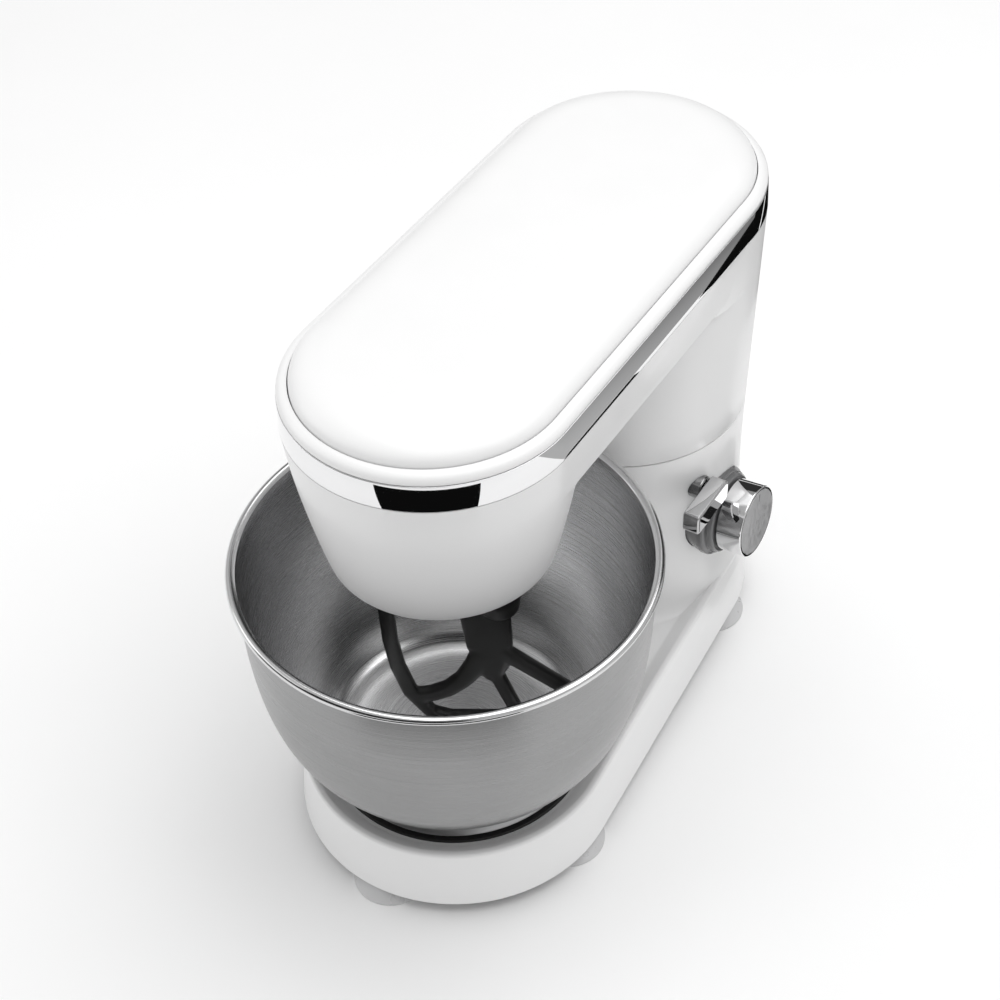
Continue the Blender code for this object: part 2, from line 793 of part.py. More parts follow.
def ring_gear():
    """Internal gear, its teeth pointing in and a gap towards the planet."""
    pitch_r = MODULE * RING_TEETH / 2
    phase = PLANET_ANGLE + math.pi / RING_TEETH
    rings = []
    low = tooth_ring(RING_TEETH, pitch_r - 1.2, pitch_r + 1.7, 0, MIX_Y, GEAR_LOW, phase)
    high = tooth_ring(RING_TEETH, pitch_r - 1.2, pitch_r + 1.7, 0, MIX_Y, GEAR_HIGH, phase)
    rings.append(low)
    rings.append(like_circle(low, 0, MIX_Y, 46.2))
    rings.append(like_circle(high, 0, MIX_Y, 46.2))
    rings.append(high)
    return rings_to_solid("ring_gear", rings, nylon(), closed=True)


def planet_gear():
    """Gear on the tool shaft that rolls inside the ring gear."""
    pitch_r = MODULE * PLANET_TEETH / 2
    low = tooth_ring(PLANET_TEETH, pitch_r + 1.2, pitch_r - 1.7, TOOL_X, TOOL_Y, GEAR_LOW, PLANET_ANGLE)
    high = tooth_ring(PLANET_TEETH, pitch_r + 1.2, pitch_r - 1.7, TOOL_X, TOOL_Y, GEAR_HIGH, PLANET_ANGLE)
    rings = [low, high, like_circle(high, TOOL_X, TOOL_Y, 4.3), like_circle(low, TOOL_X, TOOL_Y, 4.3)]
    return rings_to_solid("planet_gear", rings, steel(), closed=True)


# ---------------------------------------------------------------- planet carrier and tool

def planet_carrier():
    """Disc that closes the nose and carries the tool shaft round."""
    profile = [
        (0, 199.2), (46.0, 199.2), (49.5, 200.4), (50.0, 202.0), (50.0, 205.5), (9.0, 206.0),
        (9.0, 210.0), (0, 210.0),
    ]
    disc = turned("planet_carrier", profile, black_plastic(), 0, MIX_Y, 32)
    return cut(disc, rod("tool_bore", 4.3, 190, 215, black_plastic(), TOOL_X, TOOL_Y, 20))


def pulley(name, y, radius, flange, bore, mat, count):
    """Flanged belt pulley."""
    profile = [
        (bore, BELT_LOW - 3), (flange, BELT_LOW - 3), (flange, BELT_LOW - 1), (radius, BELT_LOW - 1),
        (radius, BELT_HIGH + 1), (flange, BELT_HIGH + 1), (flange, BELT_HIGH + 3),
        (bore, BELT_HIGH + 3),
    ]
    return turned(name, profile, mat, 0, y, count)


def drive_belt():
    """Belt around both pulleys."""
    thick = 2.4
    rings = []
    for z, grow in ((BELT_LOW, thick), (BELT_HIGH, thick), (BELT_HIGH, GAP), (BELT_LOW, GAP)):
        rings.append(outline(MIX_Y, LARGE_PULLEY_R + grow, MOTOR_Y, MOTOR_PULLEY_R + grow, z, 14))
    return rings_to_solid("drive_belt", rings, black_rubber(), closed=True)


def drive_pin():
    """Cross pin on the tool shaft that turns the beater."""
    pin = rod("drive_pin", 1.5, -8.0, 8.0, bright_steel(), count=12)
    turn_mesh(pin, aim((TOOL_X, TOOL_Y, 187.5), (0, 1, 0)))
    return pin


def tool_shaft():
    """Shaft from the planet gear down to the beater."""
    shaft = rod("tool_shaft", 4.0, 160.0, 224.0, bright_steel(), TOOL_X, TOOL_Y, 16)
    hole = rod("cross_hole", 1.8, -6, 6, bright_steel(), count=12)
    turn_mesh(hole, aim((TOOL_X, TOOL_Y, 187.5), (0, 1, 0)))
    return cut(shaft, hole)


def bar(name, start, end, width, thick, mat):
    """Flat bar between two points of the beater's own plane, round ended."""
    (s0, z0), (s1, z1) = start, end
    length = math.hypot(s1 - s0, z1 - z0)
    along = math.atan2(z1 - z0, s1 - s0)
    flat = outline(0, width / 2, length, width / 2, 0, 3)
    rings = []
    edge, bevel = 1.2, 1.0
    sections = (
        (-thick / 2, bevel), (-thick / 2 + edge, 0.0),
        (thick / 2 - edge, 0.0), (thick / 2, bevel),
    )
    for depth, inset in sections:
        ring = []
        share = 1 - 2 * inset / width
        for across, lengthwise, _ in flat:
            across = across * share
            s = s0 + lengthwise * math.cos(along) - across * math.sin(along)
            z = z0 + lengthwise * math.sin(along) + across * math.cos(along)
            ring.append((s, depth, z))
        rings.append(ring)
    return rings_to_solid(name, rings, mat)


def beater():
    """Flat beater: hub, web, arm down one side, bottom rail, bowed brace and two ribs."""
    black = black_plastic()
    hub = turned(
        "flat_beater",
        [(0, 155.0), (4.3, 155.0), (4.3, 184.5), (9.0, 184.5), (10.5, 182.5), (11.5, 165.0),
         (11.8, 150.0), (10.5, 141.0), (0, 138.0)],
        black, 0, 0, 20)
    strokes = [
        ((-6, 139), (-5, 112), 28.0),
        ((-5, 116), (-4, 97), 22.0),
        ((-4, 98), (-5, 90), 13.0),
        ((0, 152), (-59, 146), 10.0),
        ((-59, 146), (-55.5, 96), 9.0),
        ((-55.5, 96), (-50, 76), 9.0),
        ((-50, 76), (-38, 61.5), 9.0),
        ((-10, 104), (-20.5, 85), 11.5),
        ((-20.5, 85), (-31, 76), 10.5),
        ((-31, 76), (-47, 72), 9.5),
        ((-5, 92), (8.5, 59.5), 7.5),
        ((2, 108), (38, 74), 8.5),
        ((-38, 61.5), (-28, 59), 8.0),
        ((-28, 59), (8.5, 59), 7.0),
        ((8.5, 59), (30, 63), 7.0),
        ((30, 63), (38, 74), 8.0),
    ]
    for i, (start, end, width) in enumerate(strokes):
        piece = bar("beater_bar_%d" % i, start, end, width, 7.0 + 0.13 * i, black)
        join(hub, piece)
    turn = Matrix.Translation((TOOL_X, TOOL_Y, 0)) @ Matrix.Rotation(BEATER_ANGLE, 4, "Z")
    turn_mesh(hub, turn)
    for mod in hub.modifiers:
        turn_mesh(mod.object, turn)
    return hub


# ---------------------------------------------------------------- motor

def stator():
    """Laminated stator with its windings standing out at both ends."""
    profile = [
        (20.8, 192.0), (24.0, 186.0), (33.0, 186.0), (35.0, 192.0), (41.0, 192.0), (41.0, 232.0),
        (35.0, 232.0), (33.0, 238.0), (24.0, 238.0), (20.8, 232.0),
    ]
    return turned("motor_stator", profile, steel(), 0, MOTOR_Y, 22)


def armature():
    """Armature on the motor shaft, with its commutator below."""
    profile = [
        (4.3, 177.0), (10.0, 177.0), (10.0, 187.5), (15.0, 188.0), (20.0, 193.0), (20.0, 231.0),
        (15.0, 236.0), (4.3, 236.0),
    ]
    return turned("armature", profile, copper(), 0, MOTOR_Y, 20)


def motor_bracket(name, low, bore):
    """Cross bar that holds one of the motor's bearings."""
    bracket = box(name, (-50, MOTOR_Y - 12, low), (50, MOTOR_Y + 12, low + 5), steel())
    cut(bracket, rod(name + "_bore", bore, low - 4, low + 9, steel(), 0, MOTOR_Y, 20))
    return bracket


def cooling_fan():
    """Fan disc with blades, between the motor and the upper bracket."""
    fan = turned(
        "cooling_fan",
        [(4.3, 240.0), (8.0, 240.0), (8.0, 241.0), (26.0, 241.0), (26.0, 242.5), (8.0, 242.5),
         (8.0, 245.5), (4.3, 245.5)],
        nylon(), 0, MOTOR_Y, 20)
    for i in range(6):
        blade = box("fan_blade_%d" % i, (7.5, -0.7, 242.0), (25.0, 0.7, 245.2), nylon())
        spin = Matrix.Translation((0, MOTOR_Y, 0)) @ Matrix.Rotation(2 * math.pi * (i + 0.5) / 6, 4, "Z")
        turn_mesh(blade, spin)
        join(fan, blade)
    return fan


def brush(name, side):
    """Carbon brush in its holder beside the commutator."""
    inner, outer = 10.4 * side, 26.0 * side
    low, high = min(inner, outer), max(inner, outer)
    holder = box(name, (low, MOTOR_Y - 4, 173.6), (high, MOTOR_Y + 4, 184.5), black_plastic())
    return holder


# ---------------------------------------------------------------- bowl

def mixing_bowl():
    """Steel bowl with a rolled rim."""
    outside = [
        (0, 46.0), (58.0, 46.2), (65.0, 47.8), (70.0, 51.2), (82.0, 64.5), (91.0, 79.5),
        (97.3, 95.0), (101.9, 115.0), (104.6, 140.0), (105.9, 180.0),
    ]
    roll = []
    for i in range(5):
        turn = math.radians(-120 + 240 * i / 4)
        roll.append((RIM_R - 2.3 + 2.3 * math.cos(turn), RIM_Z + 2.3 * math.sin(turn)))
    inside = [
        (104.6, 183.0), (104.4, 180.0), (103.1, 140.0), (100.4, 115.2),
        (95.9, 95.6), (89.7, 80.3), (80.8, 65.5), (69.0, 52.8), (58.0, 47.8), (0, 47.6),
    ]
    return turned("mixing_bowl", outside + roll + inside, bright_steel(), 0, MIX_Y, 36)


def bowl_foot():
    """Ring that the bowl stands on, with the bayonet lugs on its inside."""
    low = DECK_Z + 2.0
    profile = [
        (63.4, low), (68.0, low), (68.4, low + 1.0), (68.4, 49.3), (65.2, 47.2),
        (63.4, 46.9),
    ]
    return turned("bowl_foot", profile, bright_steel(), 0, MIX_Y, 36)


# ---------------------------------------------------------------- assembly

def build_base():
    """Everything that stands still on the worktop."""
    base_housing()
    base_plate()
    for i, (x, y) in enumerate(SCREW_PLACES):
        screw("base_screw_%d" % (i + 1), x, y, 9.7, 22.0)
    foot("foot_front", 0, -146.5)
    foot("foot_right", 69.5, -77.5)
    foot("foot_left", -69.5, -77.5)
    foot("foot_rear_right", 58.5, 114.5)
    foot("foot_rear_left", -58.5, 114.5)
    bowl_seat()
    knob_bezel()
    speed_switch()
    lever_collar()
    control_board()
    cord_gland()
    hinge_bracket("hinge_bracket_right", 1)
    hinge_bracket("hinge_bracket_left", -1)
    hinge_pin()


def build_controls():
    """Speed knob and head lock."""
    knob = body("speed_knob", KNOB_FACE)
    carry(knob, speed_knob(), knob_face(), knob_shaft())
    lever = body("lock_lever", LEVER)
    carry(lever, lever_bar(), lever_shaft(), lock_cam())


def build_head():
    """Everything that tilts with the head but doesn't spin."""
    head = body("head", (0, TILT_Y, TILT_Z))
    pieces = [head_shell(), chrome_band(), cover_rim(), top_cover(), head_frame(), column_cover()]
    pieces += [gear_case(), ring_gear(), drive_belt(), hinge_barrel(), lock_tongue(), stator()]
    pieces.append(bearing("main_bearing_low", 0, MIX_Y, 229, 236, 5.3, 12.0))
    pieces.append(bearing("main_bearing_high", 0, MIX_Y, 254, 261, 5.3, 12.0))
    pieces.append(motor_bracket("motor_bracket_low", 167.0, 9.3))
    pieces.append(motor_bracket("motor_bracket_high", 249.0, 9.3))
    pieces.append(bearing("motor_bearing_low", 0, MOTOR_Y, 167, 172, 4.3, 9.0))
    pieces.append(bearing("motor_bearing_high", 0, MOTOR_Y, 249, 254, 4.3, 9.0))
    pieces.append(brush("brush_right", 1))
    pieces.append(brush("brush_left", -1))
    carry(head, *pieces)


def build_drive():
    """Motor rotor, planet carrier and tool."""
    rotor = body("rotor", (0, MOTOR_Y, 220))
    motor_shaft = rod("motor_shaft", 4.0, 165.0, 281.0, bright_steel(), 0, MOTOR_Y, 16)
    motor_pulley = pulley("motor_pulley", MOTOR_Y, MOTOR_PULLEY_R, 12.5, 4.3, steel(), 18)
    carry(rotor, motor_shaft, motor_pulley, armature(), cooling_fan())
    carrier = body("planet_carrier", (0, MIX_Y, 210))
    main_shaft = rod("main_shaft", 5.0, 210.3, 282.0, bright_steel(), 0, MIX_Y, 16)
    large_pulley = pulley("large_pulley", MIX_Y, LARGE_PULLEY_R, 41.5, 5.3, nylon(), 28)
    carry(carrier, planet_carrier(), main_shaft, large_pulley)
    tool = body("tool", (TOOL_X, TOOL_Y, 200))
    carry(tool, tool_shaft(), planet_gear(), drive_pin(), beater())


def build_bowl():
    """Bowl and its foot ring, which turn on the seat."""
    bowl = body("bowl", (0, MIX_Y, DECK_Z))
    carry(bowl, mixing_bowl(), bowl_foot())


def main():
    clear_scene()
    build_base()
    build_controls()
    build_head()
    build_drive()
    build_bowl()


main()
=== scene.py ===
"""Looks of the stand mixer: fine surfaces, materials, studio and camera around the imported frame.

Shapes are worked out in millimetres and written in metres. +X is the knob's side, -Y the bowl's.
"""
import json
import math

import bmesh
import bpy
from mathutils import Matrix, Vector


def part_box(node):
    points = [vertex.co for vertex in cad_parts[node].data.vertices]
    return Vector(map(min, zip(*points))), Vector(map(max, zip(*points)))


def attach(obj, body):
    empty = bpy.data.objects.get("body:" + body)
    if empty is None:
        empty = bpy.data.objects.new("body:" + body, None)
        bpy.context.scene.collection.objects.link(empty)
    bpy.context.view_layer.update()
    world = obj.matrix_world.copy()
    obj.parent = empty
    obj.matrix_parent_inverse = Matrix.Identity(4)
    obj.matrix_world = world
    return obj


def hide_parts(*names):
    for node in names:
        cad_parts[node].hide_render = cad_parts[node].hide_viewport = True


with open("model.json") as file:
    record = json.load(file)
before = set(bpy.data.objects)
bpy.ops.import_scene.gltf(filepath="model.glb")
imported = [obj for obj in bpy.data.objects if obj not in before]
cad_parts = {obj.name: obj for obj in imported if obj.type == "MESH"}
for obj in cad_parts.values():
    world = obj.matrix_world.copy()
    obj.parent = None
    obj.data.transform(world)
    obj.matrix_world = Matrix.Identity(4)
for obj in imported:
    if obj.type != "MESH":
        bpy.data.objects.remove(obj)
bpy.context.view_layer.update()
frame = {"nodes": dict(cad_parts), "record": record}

MM = 0.001


def box_mm(node):
    """Lowest and highest corners of a CAD node in millimetres."""
    low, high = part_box(node)
    return low / MM, high / MM


# ---------------------------------------------------------------- sizes read from the frame

BASE_BOX = box_mm("base_housing")
BAND_BOX = box_mm("chrome_band")
BOWL_BOX = box_mm("mixing_bowl")
FOOT_BOX = box_mm("bowl_foot")
SEAT_BOX = box_mm("bowl_seat")
COVER_BOX = box_mm("top_cover")
BEAD_BOX = box_mm("cover_rim")
PIN_BOX = box_mm("hinge_pin")
TOOL_BOX = box_mm("tool_shaft")
CARRIER_BOX = box_mm("planet_carrier")
LEVER_BOX = box_mm("lock_lever")
COLLAR_BOX = box_mm("lever_collar")
PLATE_BOX = box_mm("base_plate")

GAP = 0.3
WALL = 3.5
MIX_Y = (BOWL_BOX[0].y + BOWL_BOX[1].y) / 2
HEAD_R = BAND_BOX[1].x
HEAD_FRONT_Y = BAND_BOX[0].y + HEAD_R
HEAD_REAR_Y = BAND_BOX[1].y - HEAD_R
BAND_LOW = BAND_BOX[0].z - GAP
BAND_HIGH = BAND_BOX[1].z
BEAD_HIGH = BEAD_BOX[1].z
HEAD_TOP = COVER_BOX[1].z
SEAM_Z = BASE_BOX[1].z + GAP
BASE_LOW = BASE_BOX[0].z
BASE_FRONT_R = BASE_BOX[1].x
BASE_REAR_R = 75.5
BASE_REAR_Y = BASE_BOX[1].y - BASE_REAR_R
COLUMN_Y = 107.15
DECK_Z = SEAT_BOX[0].z - GAP
BASE_TOP = DECK_Z + 5.5
NOSE_LOW = 197.4
ARM_LOW = 251.0
RIM_R = BOWL_BOX[1].x
ROLL_R = 2.3                     # radius of the bowl's rolled rim
RIM_Z = BOWL_BOX[1].z - ROLL_R
RIM_HIGHLIGHT_BAND = 4.8                   # height of the rim band painted lighter as a highlight
TILT_Y = (PIN_BOX[0].y + PIN_BOX[1].y) / 2
TILT_Z = (PIN_BOX[0].z + PIN_BOX[1].z) / 2
TILT_MAX = math.radians(35.0)
TOOL_X = (TOOL_BOX[0].x + TOOL_BOX[1].x) / 2
TOOL_Y = (TOOL_BOX[0].y + TOOL_BOX[1].y) / 2
BEATER_ANGLE = math.radians(30.0)
KNOB_FACE = Vector((92.5, 97.95, 103.5))
KNOB_PITCH = math.radians(4.07)
KNOB_R = 21.0
POINTER_TURN = math.radians(-14.0)
LEVER = Vector((62.7, (COLLAR_BOX[0].y + COLLAR_BOX[1].y) / 2, (COLLAR_BOX[0].z + COLLAR_BOX[1].z) / 2))
GLAND = Vector((0.0, 183.0, 27.0))
CROSS_PIN_Z = 187.5              # pin that the beater hangs on
ROUND = 96                       # sides of a large round piece
ARC = 48                         # steps around each end of a long outline


# ---------------------------------------------------------------- mesh tools

def finish_mesh(name, bm, sharp_deg=32.0):
    """Turn a bmesh in millimetres into an object with outward faces."""
    bmesh.ops.recalc_face_normals(bm, faces=bm.faces)
    bmesh.ops.scale(bm, vec=(MM, MM, MM), verts=bm.verts)
    mesh = bpy.data.meshes.new(name)
    bm.to_mesh(mesh)
    bm.free()
    obj = bpy.data.objects.new(name, mesh)
    bpy.context.scene.collection.objects.link(obj)
    smooth(obj, sharp_deg)
    return obj


def smooth(obj, sharp_deg=32.0):
    """Shade smooth, keeping edges sharper than an angle."""
    obj.data.shade_smooth()
    obj.data.set_sharp_from_angle(angle=math.radians(sharp_deg))
    return obj


def loft(name, rings, closed=False):
    """Skin equal rings of points; ends are capped, or joined if closed."""
    bm = bmesh.new()
    loops = [[bm.verts.new(point) for point in ring] for ring in rings]
    if closed:
        loops.append(loops[0])
    for low, high in zip(loops, loops[1:]):
        count = len(low)
        for i in range(count):
            j = (i + 1) % count
            bm.faces.new((low[i], low[j], high[j], high[i]))
    if not closed:
        bm.faces.new(loops[0])
        bm.faces.new(loops[-1])
    return finish_mesh(name, bm)


def circle(x, y, z, radius, count):
    """Points of a level circle."""
    points = []
    for i in range(count):
        turn = 2 * math.pi * i / count
        points.append((x + radius * math.cos(turn), y + radius * math.sin(turn), z))
    return points


def outline(front_y, front_r, rear_y, rear_r, z, arc=ARC):
    """Level outline of two circles on the Y axis and their outer tangents."""
    lean = math.asin((front_r - rear_r) / (rear_y - front_y))
    points = []
    for i in range(arc + 1):
        turn = lean + (math.pi - 2 * lean) * i / arc
        points.append((rear_r * math.cos(turn), rear_y + rear_r * math.sin(turn), z))
    for i in range(arc + 1):
        turn = math.pi - lean + (math.pi + 2 * lean) * i / arc
        points.append((front_r * math.cos(turn), front_y + front_r * math.sin(turn), z))
    return points


def rounded(corners, steps=5):
    """Path of points (a, b) from corners (a, b, radius), each corner rounded by an arc."""
    path = [corners[0][:2]]
    for before, corner, after in zip(corners, corners[1:], corners[2:]):
        here = Vector(corner[:2])
        back = Vector(before[:2]) - here
        ahead = Vector(after[:2]) - here
        radius = corner[2] if len(corner) > 2 else 0.0
        if radius <= 0 or back.length < 1e-6 or ahead.length < 1e-6:
            path.append(tuple(here))
            continue
        half = back.angle(ahead) / 2
        reach = min(radius / math.tan(half), back.length * 0.49, ahead.length * 0.49)
        true_radius = reach * math.tan(half)
        start = here + back.normalized() * reach
        end = here + ahead.normalized() * reach
        centre = here + (back.normalized() + ahead.normalized()).normalized() * (true_radius / math.sin(half))
        first = start - centre
        sweep = first.angle_signed(end - centre)
        for i in range(steps + 1):
            turned_by = -sweep * i / steps
            c, s = math.cos(turned_by), math.sin(turned_by)
            path.append((centre.x + first.x * c - first.y * s, centre.y + first.x * s + first.y * c))
    path.append(corners[-1][:2])
    return path


def turned(name, profile, x=0.0, y=0.0, count=ROUND):
    """Solid of revolution about a vertical axis; profile is a loop of (radius, z)."""
    bm = bmesh.new()
    loops = []
    for radius, z in profile:
        if radius <= 1e-9:
            loops.append([bm.verts.new((x, y, z))])
        else:
            loops.append([bm.verts.new(p) for p in circle(x, y, z, radius, count)])
    pairs = list(zip(loops, loops[1:]))
    if profile[0][0] > 0:
        pairs.append((loops[-1], loops[0]))
    for low, high in pairs:
        for i in range(count):
            j = (i + 1) % count
            if len(low) == 1:
                bm.faces.new((low[0], high[j], high[i]))
            elif len(high) == 1:
                bm.faces.new((low[i], low[j], high[0]))
            else:
                bm.faces.new((low[i], low[j], high[j], high[i]))
    return finish_mesh(name, bm)


def rod(name, radius, low, high, x=0.0, y=0.0, count=48, chamfer=0.4):
    """Round rod with softened ends."""
    profile = rounded([(0, low), (radius, low, chamfer), (radius, high, chamfer), (0, high)], 3)
    return turned(name, profile, x, y, count)


def block(name, low, high):
    """Block between two corners, used to cut slots."""
    bm = bmesh.new()
    bmesh.ops.create_cube(bm, size=1.0)
    size = [b - a for a, b in zip(low, high)]
    middle = [(a + b) / 2 for a, b in zip(low, high)]
    bmesh.ops.scale(bm, vec=size, verts=bm.verts)
    bmesh.ops.translate(bm, vec=middle, verts=bm.verts)
    return finish_mesh(name, bm)


def move(obj, matrix):
    """Move an object's own mesh by a matrix given in millimetres."""
    scaled = matrix.copy()
    scaled.translation = scaled.translation * MM
    obj.data.transform(scaled)
    return obj


def aim(point, direction):
    """Matrix that lays +Z along a direction and the origin on a point."""
    turn = Vector(direction).to_track_quat("Z", "Y").to_matrix().to_4x4()
    return Matrix.Translation(Vector(point)) @ turn


def apply_modifiers(obj):
    """Keep the evaluated mesh as the object's own."""
    bpy.context.view_layer.update()
    graph = bpy.context.evaluated_depsgraph_get()
    mesh = bpy.data.meshes.new_from_object(obj.evaluated_get(graph))
    old = obj.data
    obj.modifiers.clear()
    obj.data = mesh
    bpy.data.meshes.remove(old)
    return obj


def boolean(obj, other, operation):
    """Join or cut with another object and drop that object."""
    mod = obj.modifiers.new("boolean", "BOOLEAN")
    mod.operation = operation
    mod.solver = "EXACT"
    mod.object = other
    apply_modifiers(obj)
    bpy.data.objects.remove(other)
    return obj


def cut(obj, other):
    """Take another object's volume away."""
    return boolean(obj, other, "DIFFERENCE")


def join(obj, other):
    """Fuse another object on."""
    return boolean(obj, other, "UNION")


# ---------------------------------------------------------------- material tools

class Nodes:
    """Short hand for building a material's nodes."""

    def __init__(self, name):
        self.material = bpy.data.materials.new(name)
        self.material.use_nodes = True
        self.tree = self.material.node_tree
        self.shader = self.tree.nodes["Principled BSDF"]
        self.coords = self.tree.nodes.new("ShaderNodeTexCoord").outputs["Object"]

    def node(self, kind, **settings):
        made = self.tree.nodes.new(kind)
        for key, value in settings.items():
            setattr(made, key, value)
        return made

    def link(self, source, target):
        self.tree.links.new(source, target)

    def set(self, **values):
        """Set the shader's own sockets; underscores stand for spaces."""
        for key, value in values.items():
            self.shader.inputs[key.replace("_", " ")].default_value = value
        return self

    def stretched(self, x, y, z):
        """Object coordinates scaled along each axis."""
        mapping = self.node("ShaderNodeMapping")
        mapping.inputs["Scale"].default_value = (x, y, z)
        self.link(self.coords, mapping.inputs["Vector"])
        return mapping.outputs["Vector"]

    def noise(self, scale, detail=4.0, vector=None):
        made = self.node("ShaderNodeTexNoise")
        made.inputs["Scale"].default_value = scale
        made.inputs["Detail"].default_value = detail
        self.link(vector or self.coords, made.inputs["Vector"])
        return made.outputs["Fac"]

    def span(self, factor, low, high):
        """Map a 0.3 to 0.7 noise factor on to a range."""
        made = self.node("ShaderNodeMapRange")
        made.inputs["From Min"].default_value = 0.3
        made.inputs["From Max"].default_value = 0.7
        made.inputs["To Min"].default_value = low
        made.inputs["To Max"].default_value = high
        self.link(factor, made.inputs["Value"])
        return made.outputs["Result"]

    def tint(self, factor, dark, light):
        """Colour that runs between two tones with a factor."""
        ramp = self.node("ShaderNodeValToRGB")
        ramp.color_ramp.elements[0].position = 0.3
        ramp.color_ramp.elements[1].position = 0.7
        ramp.color_ramp.elements[0].color = (*dark, 1.0)
        ramp.color_ramp.elements[1].color = (*light, 1.0)
        self.link(factor, ramp.inputs["Fac"])
        return ramp.outputs["Color"]

    def bump(self, height, strength, distance):
        made = self.node("ShaderNodeBump")
        made.inputs["Strength"].default_value = strength
        made.inputs["Distance"].default_value = distance
        self.link(height, made.inputs["Height"])
        self.link(made.outputs["Normal"], self.shader.inputs["Normal"])

    def colour(self, output):
        self.link(output, self.shader.inputs["Base Color"])

    def roughness(self, output):
        self.link(output, self.shader.inputs["Roughness"])


def shade(colour, factor):
    """A colour made lighter or darker."""
    return tuple(min(1.0, channel * factor) for channel in colour)


def moulded(name, colour, rough, grain=1400.0, depth=0.00002, coat=0.0, vary=0.03):
    """Moulded plastic: faint tone drift, uneven gloss and a fine grain."""
    mat = Nodes(name)
    mat.set(Metallic=0.0, IOR=1.49, Coat_Weight=coat, Coat_Roughness=0.03)
    mat.colour(mat.tint(mat.noise(9.0, 3.0), shade(colour, 1 - vary), shade(colour, 1 + vary / 2)))
    mat.roughness(mat.span(mat.noise(60.0, 5.0), rough * 0.85, rough * 1.15))
    mat.bump(mat.noise(grain, 2.0), 0.25, depth)
    return mat.material


def metal(name, colour, rough, grain=None, depth=0.00001, vary=0.05, anisotropic=0.0):
    """Bare or plated metal with a grain of fine marks along its scaled axes."""
    mat = Nodes(name)
    mat.set(Metallic=1.0, Anisotropic=anisotropic)
    vector = mat.stretched(*(grain or (1.0, 1.0, 1.0)))
    mat.colour(mat.tint(mat.noise(14.0, 3.0), shade(colour, 1 - vary), shade(colour, 1 + vary)))
    mat.roughness(mat.span(mat.noise(300.0, 6.0, vector), rough * 0.8, rough * 1.25))
    mat.bump(mat.noise(700.0, 3.0, vector), 0.2, depth)
    return mat.material


def ringed_steel(name, colour, rough, centre_y, pitch=2600.0, depth=0.000012):
    """Spun steel: fine rings around a vertical axis, with faint patches of gloss."""
    mat = Nodes(name)
    mat.set(Metallic=1.0, Anisotropic=0.35)
    move_to = mat.node("ShaderNodeMapping")
    move_to.inputs["Location"].default_value = (0.0, -centre_y * MM, 0.0)
    mat.link(mat.coords, move_to.inputs["Vector"])
    split = mat.node("ShaderNodeSeparateXYZ")
    mat.link(move_to.outputs["Vector"], split.inputs["Vector"])
    flat = mat.node("ShaderNodeCombineXYZ")
    mat.link(split.outputs["X"], flat.inputs["X"])
    mat.link(split.outputs["Y"], flat.inputs["Y"])
    radius = mat.node("ShaderNodeVectorMath", operation="LENGTH")
    mat.link(flat.outputs["Vector"], radius.inputs[0])
    rings = mat.node("ShaderNodeCombineXYZ")
    mat.link(radius.outputs["Value"], rings.inputs["X"])
    mat.link(split.outputs["Z"], rings.inputs["Z"])
    lines = mat.noise(pitch, 3.0, rings.outputs["Vector"])
    mat.colour(mat.tint(mat.noise(20.0, 3.0), shade(colour, 0.95), shade(colour, 1.05)))
    mat.roughness(mat.span(lines, rough * 0.75, rough * 1.3))
    mat.bump(lines, 0.3, depth)
    return mat.material


def rubber(name, colour, rough, clear=0.0):
    """Rubber with a soft mottled surface, a little clear if asked."""
    mat = Nodes(name)
    mat.set(Metallic=0.0, Transmission_Weight=clear, IOR=1.43)
    mat.colour(mat.tint(mat.noise(40.0, 4.0), shade(colour, 0.94), shade(colour, 1.04)))
    mat.roughness(mat.span(mat.noise(120.0, 4.0), rough * 0.85, rough * 1.15))
    mat.bump(mat.noise(2200.0, 3.0), 0.3, 0.00004)
    return mat.material


MATERIALS = {
    "white_plastic": moulded(
        "white_plastic", (0.87, 0.87, 0.87), 0.34, coat=0.16, vary=0.012, depth=0.000006),
    "chrome": metal("chrome", (0.86, 0.86, 0.865), 0.03, vary=0.015, depth=0.000001),
    # The bowl's steel is darkened: painted shade standing in for the bowl's dark reflections.
    "bowl_steel": ringed_steel("bowl_steel", (0.33, 0.33, 0.332), 0.3, MIX_Y),
    "zinc_steel": metal("zinc_steel", (0.48, 0.48, 0.5), 0.32, grain=(1.0, 6.0, 1.0)),
    "bright_steel": metal("bright_steel", (0.66, 0.66, 0.67), 0.18, grain=(1.0, 1.0, 5.0)),
    "black_plastic": moulded("black_plastic", (0.009, 0.009, 0.009), 0.42, depth=0.00003, vary=0.15),
    "grey_plastic": moulded("grey_plastic", (0.16, 0.16, 0.163), 0.22, coat=0.3, vary=0.06),
    "foot_rubber": rubber("foot_rubber", (0.66, 0.66, 0.665), 0.3, clear=0.1),
    "black_rubber": rubber("black_rubber", (0.018, 0.018, 0.018), 0.6),
    "knob_face": metal("knob_face", (0.66, 0.66, 0.665), 0.62, grain=(4.0, 1.0, 1.0), vary=0.03),
    "circuit_board": moulded("circuit_board", (0.015, 0.14, 0.05), 0.4, grain=500.0, vary=0.25),
    "copper": metal("copper", (0.62, 0.27, 0.12), 0.3, grain=(1.0, 1.0, 9.0), vary=0.15),
    "nylon": moulded("nylon", (0.7, 0.68, 0.6), 0.42, vary=0.06),
}

# Darker copies of the chrome for the lever and its collar: painted shade standing in for their dark
# reflections.
LEVER_CHROME_PAINTED_SHADE = metal("lever_chrome_painted_shade", (0.56, 0.56, 0.565), 0.035, vary=0.015, depth=0.000001)
COLLAR_CHROME_PAINTED_SHADE = metal("collar_chrome_painted_shade", (0.3, 0.3, 0.303), 0.05, vary=0.02, depth=0.000001)
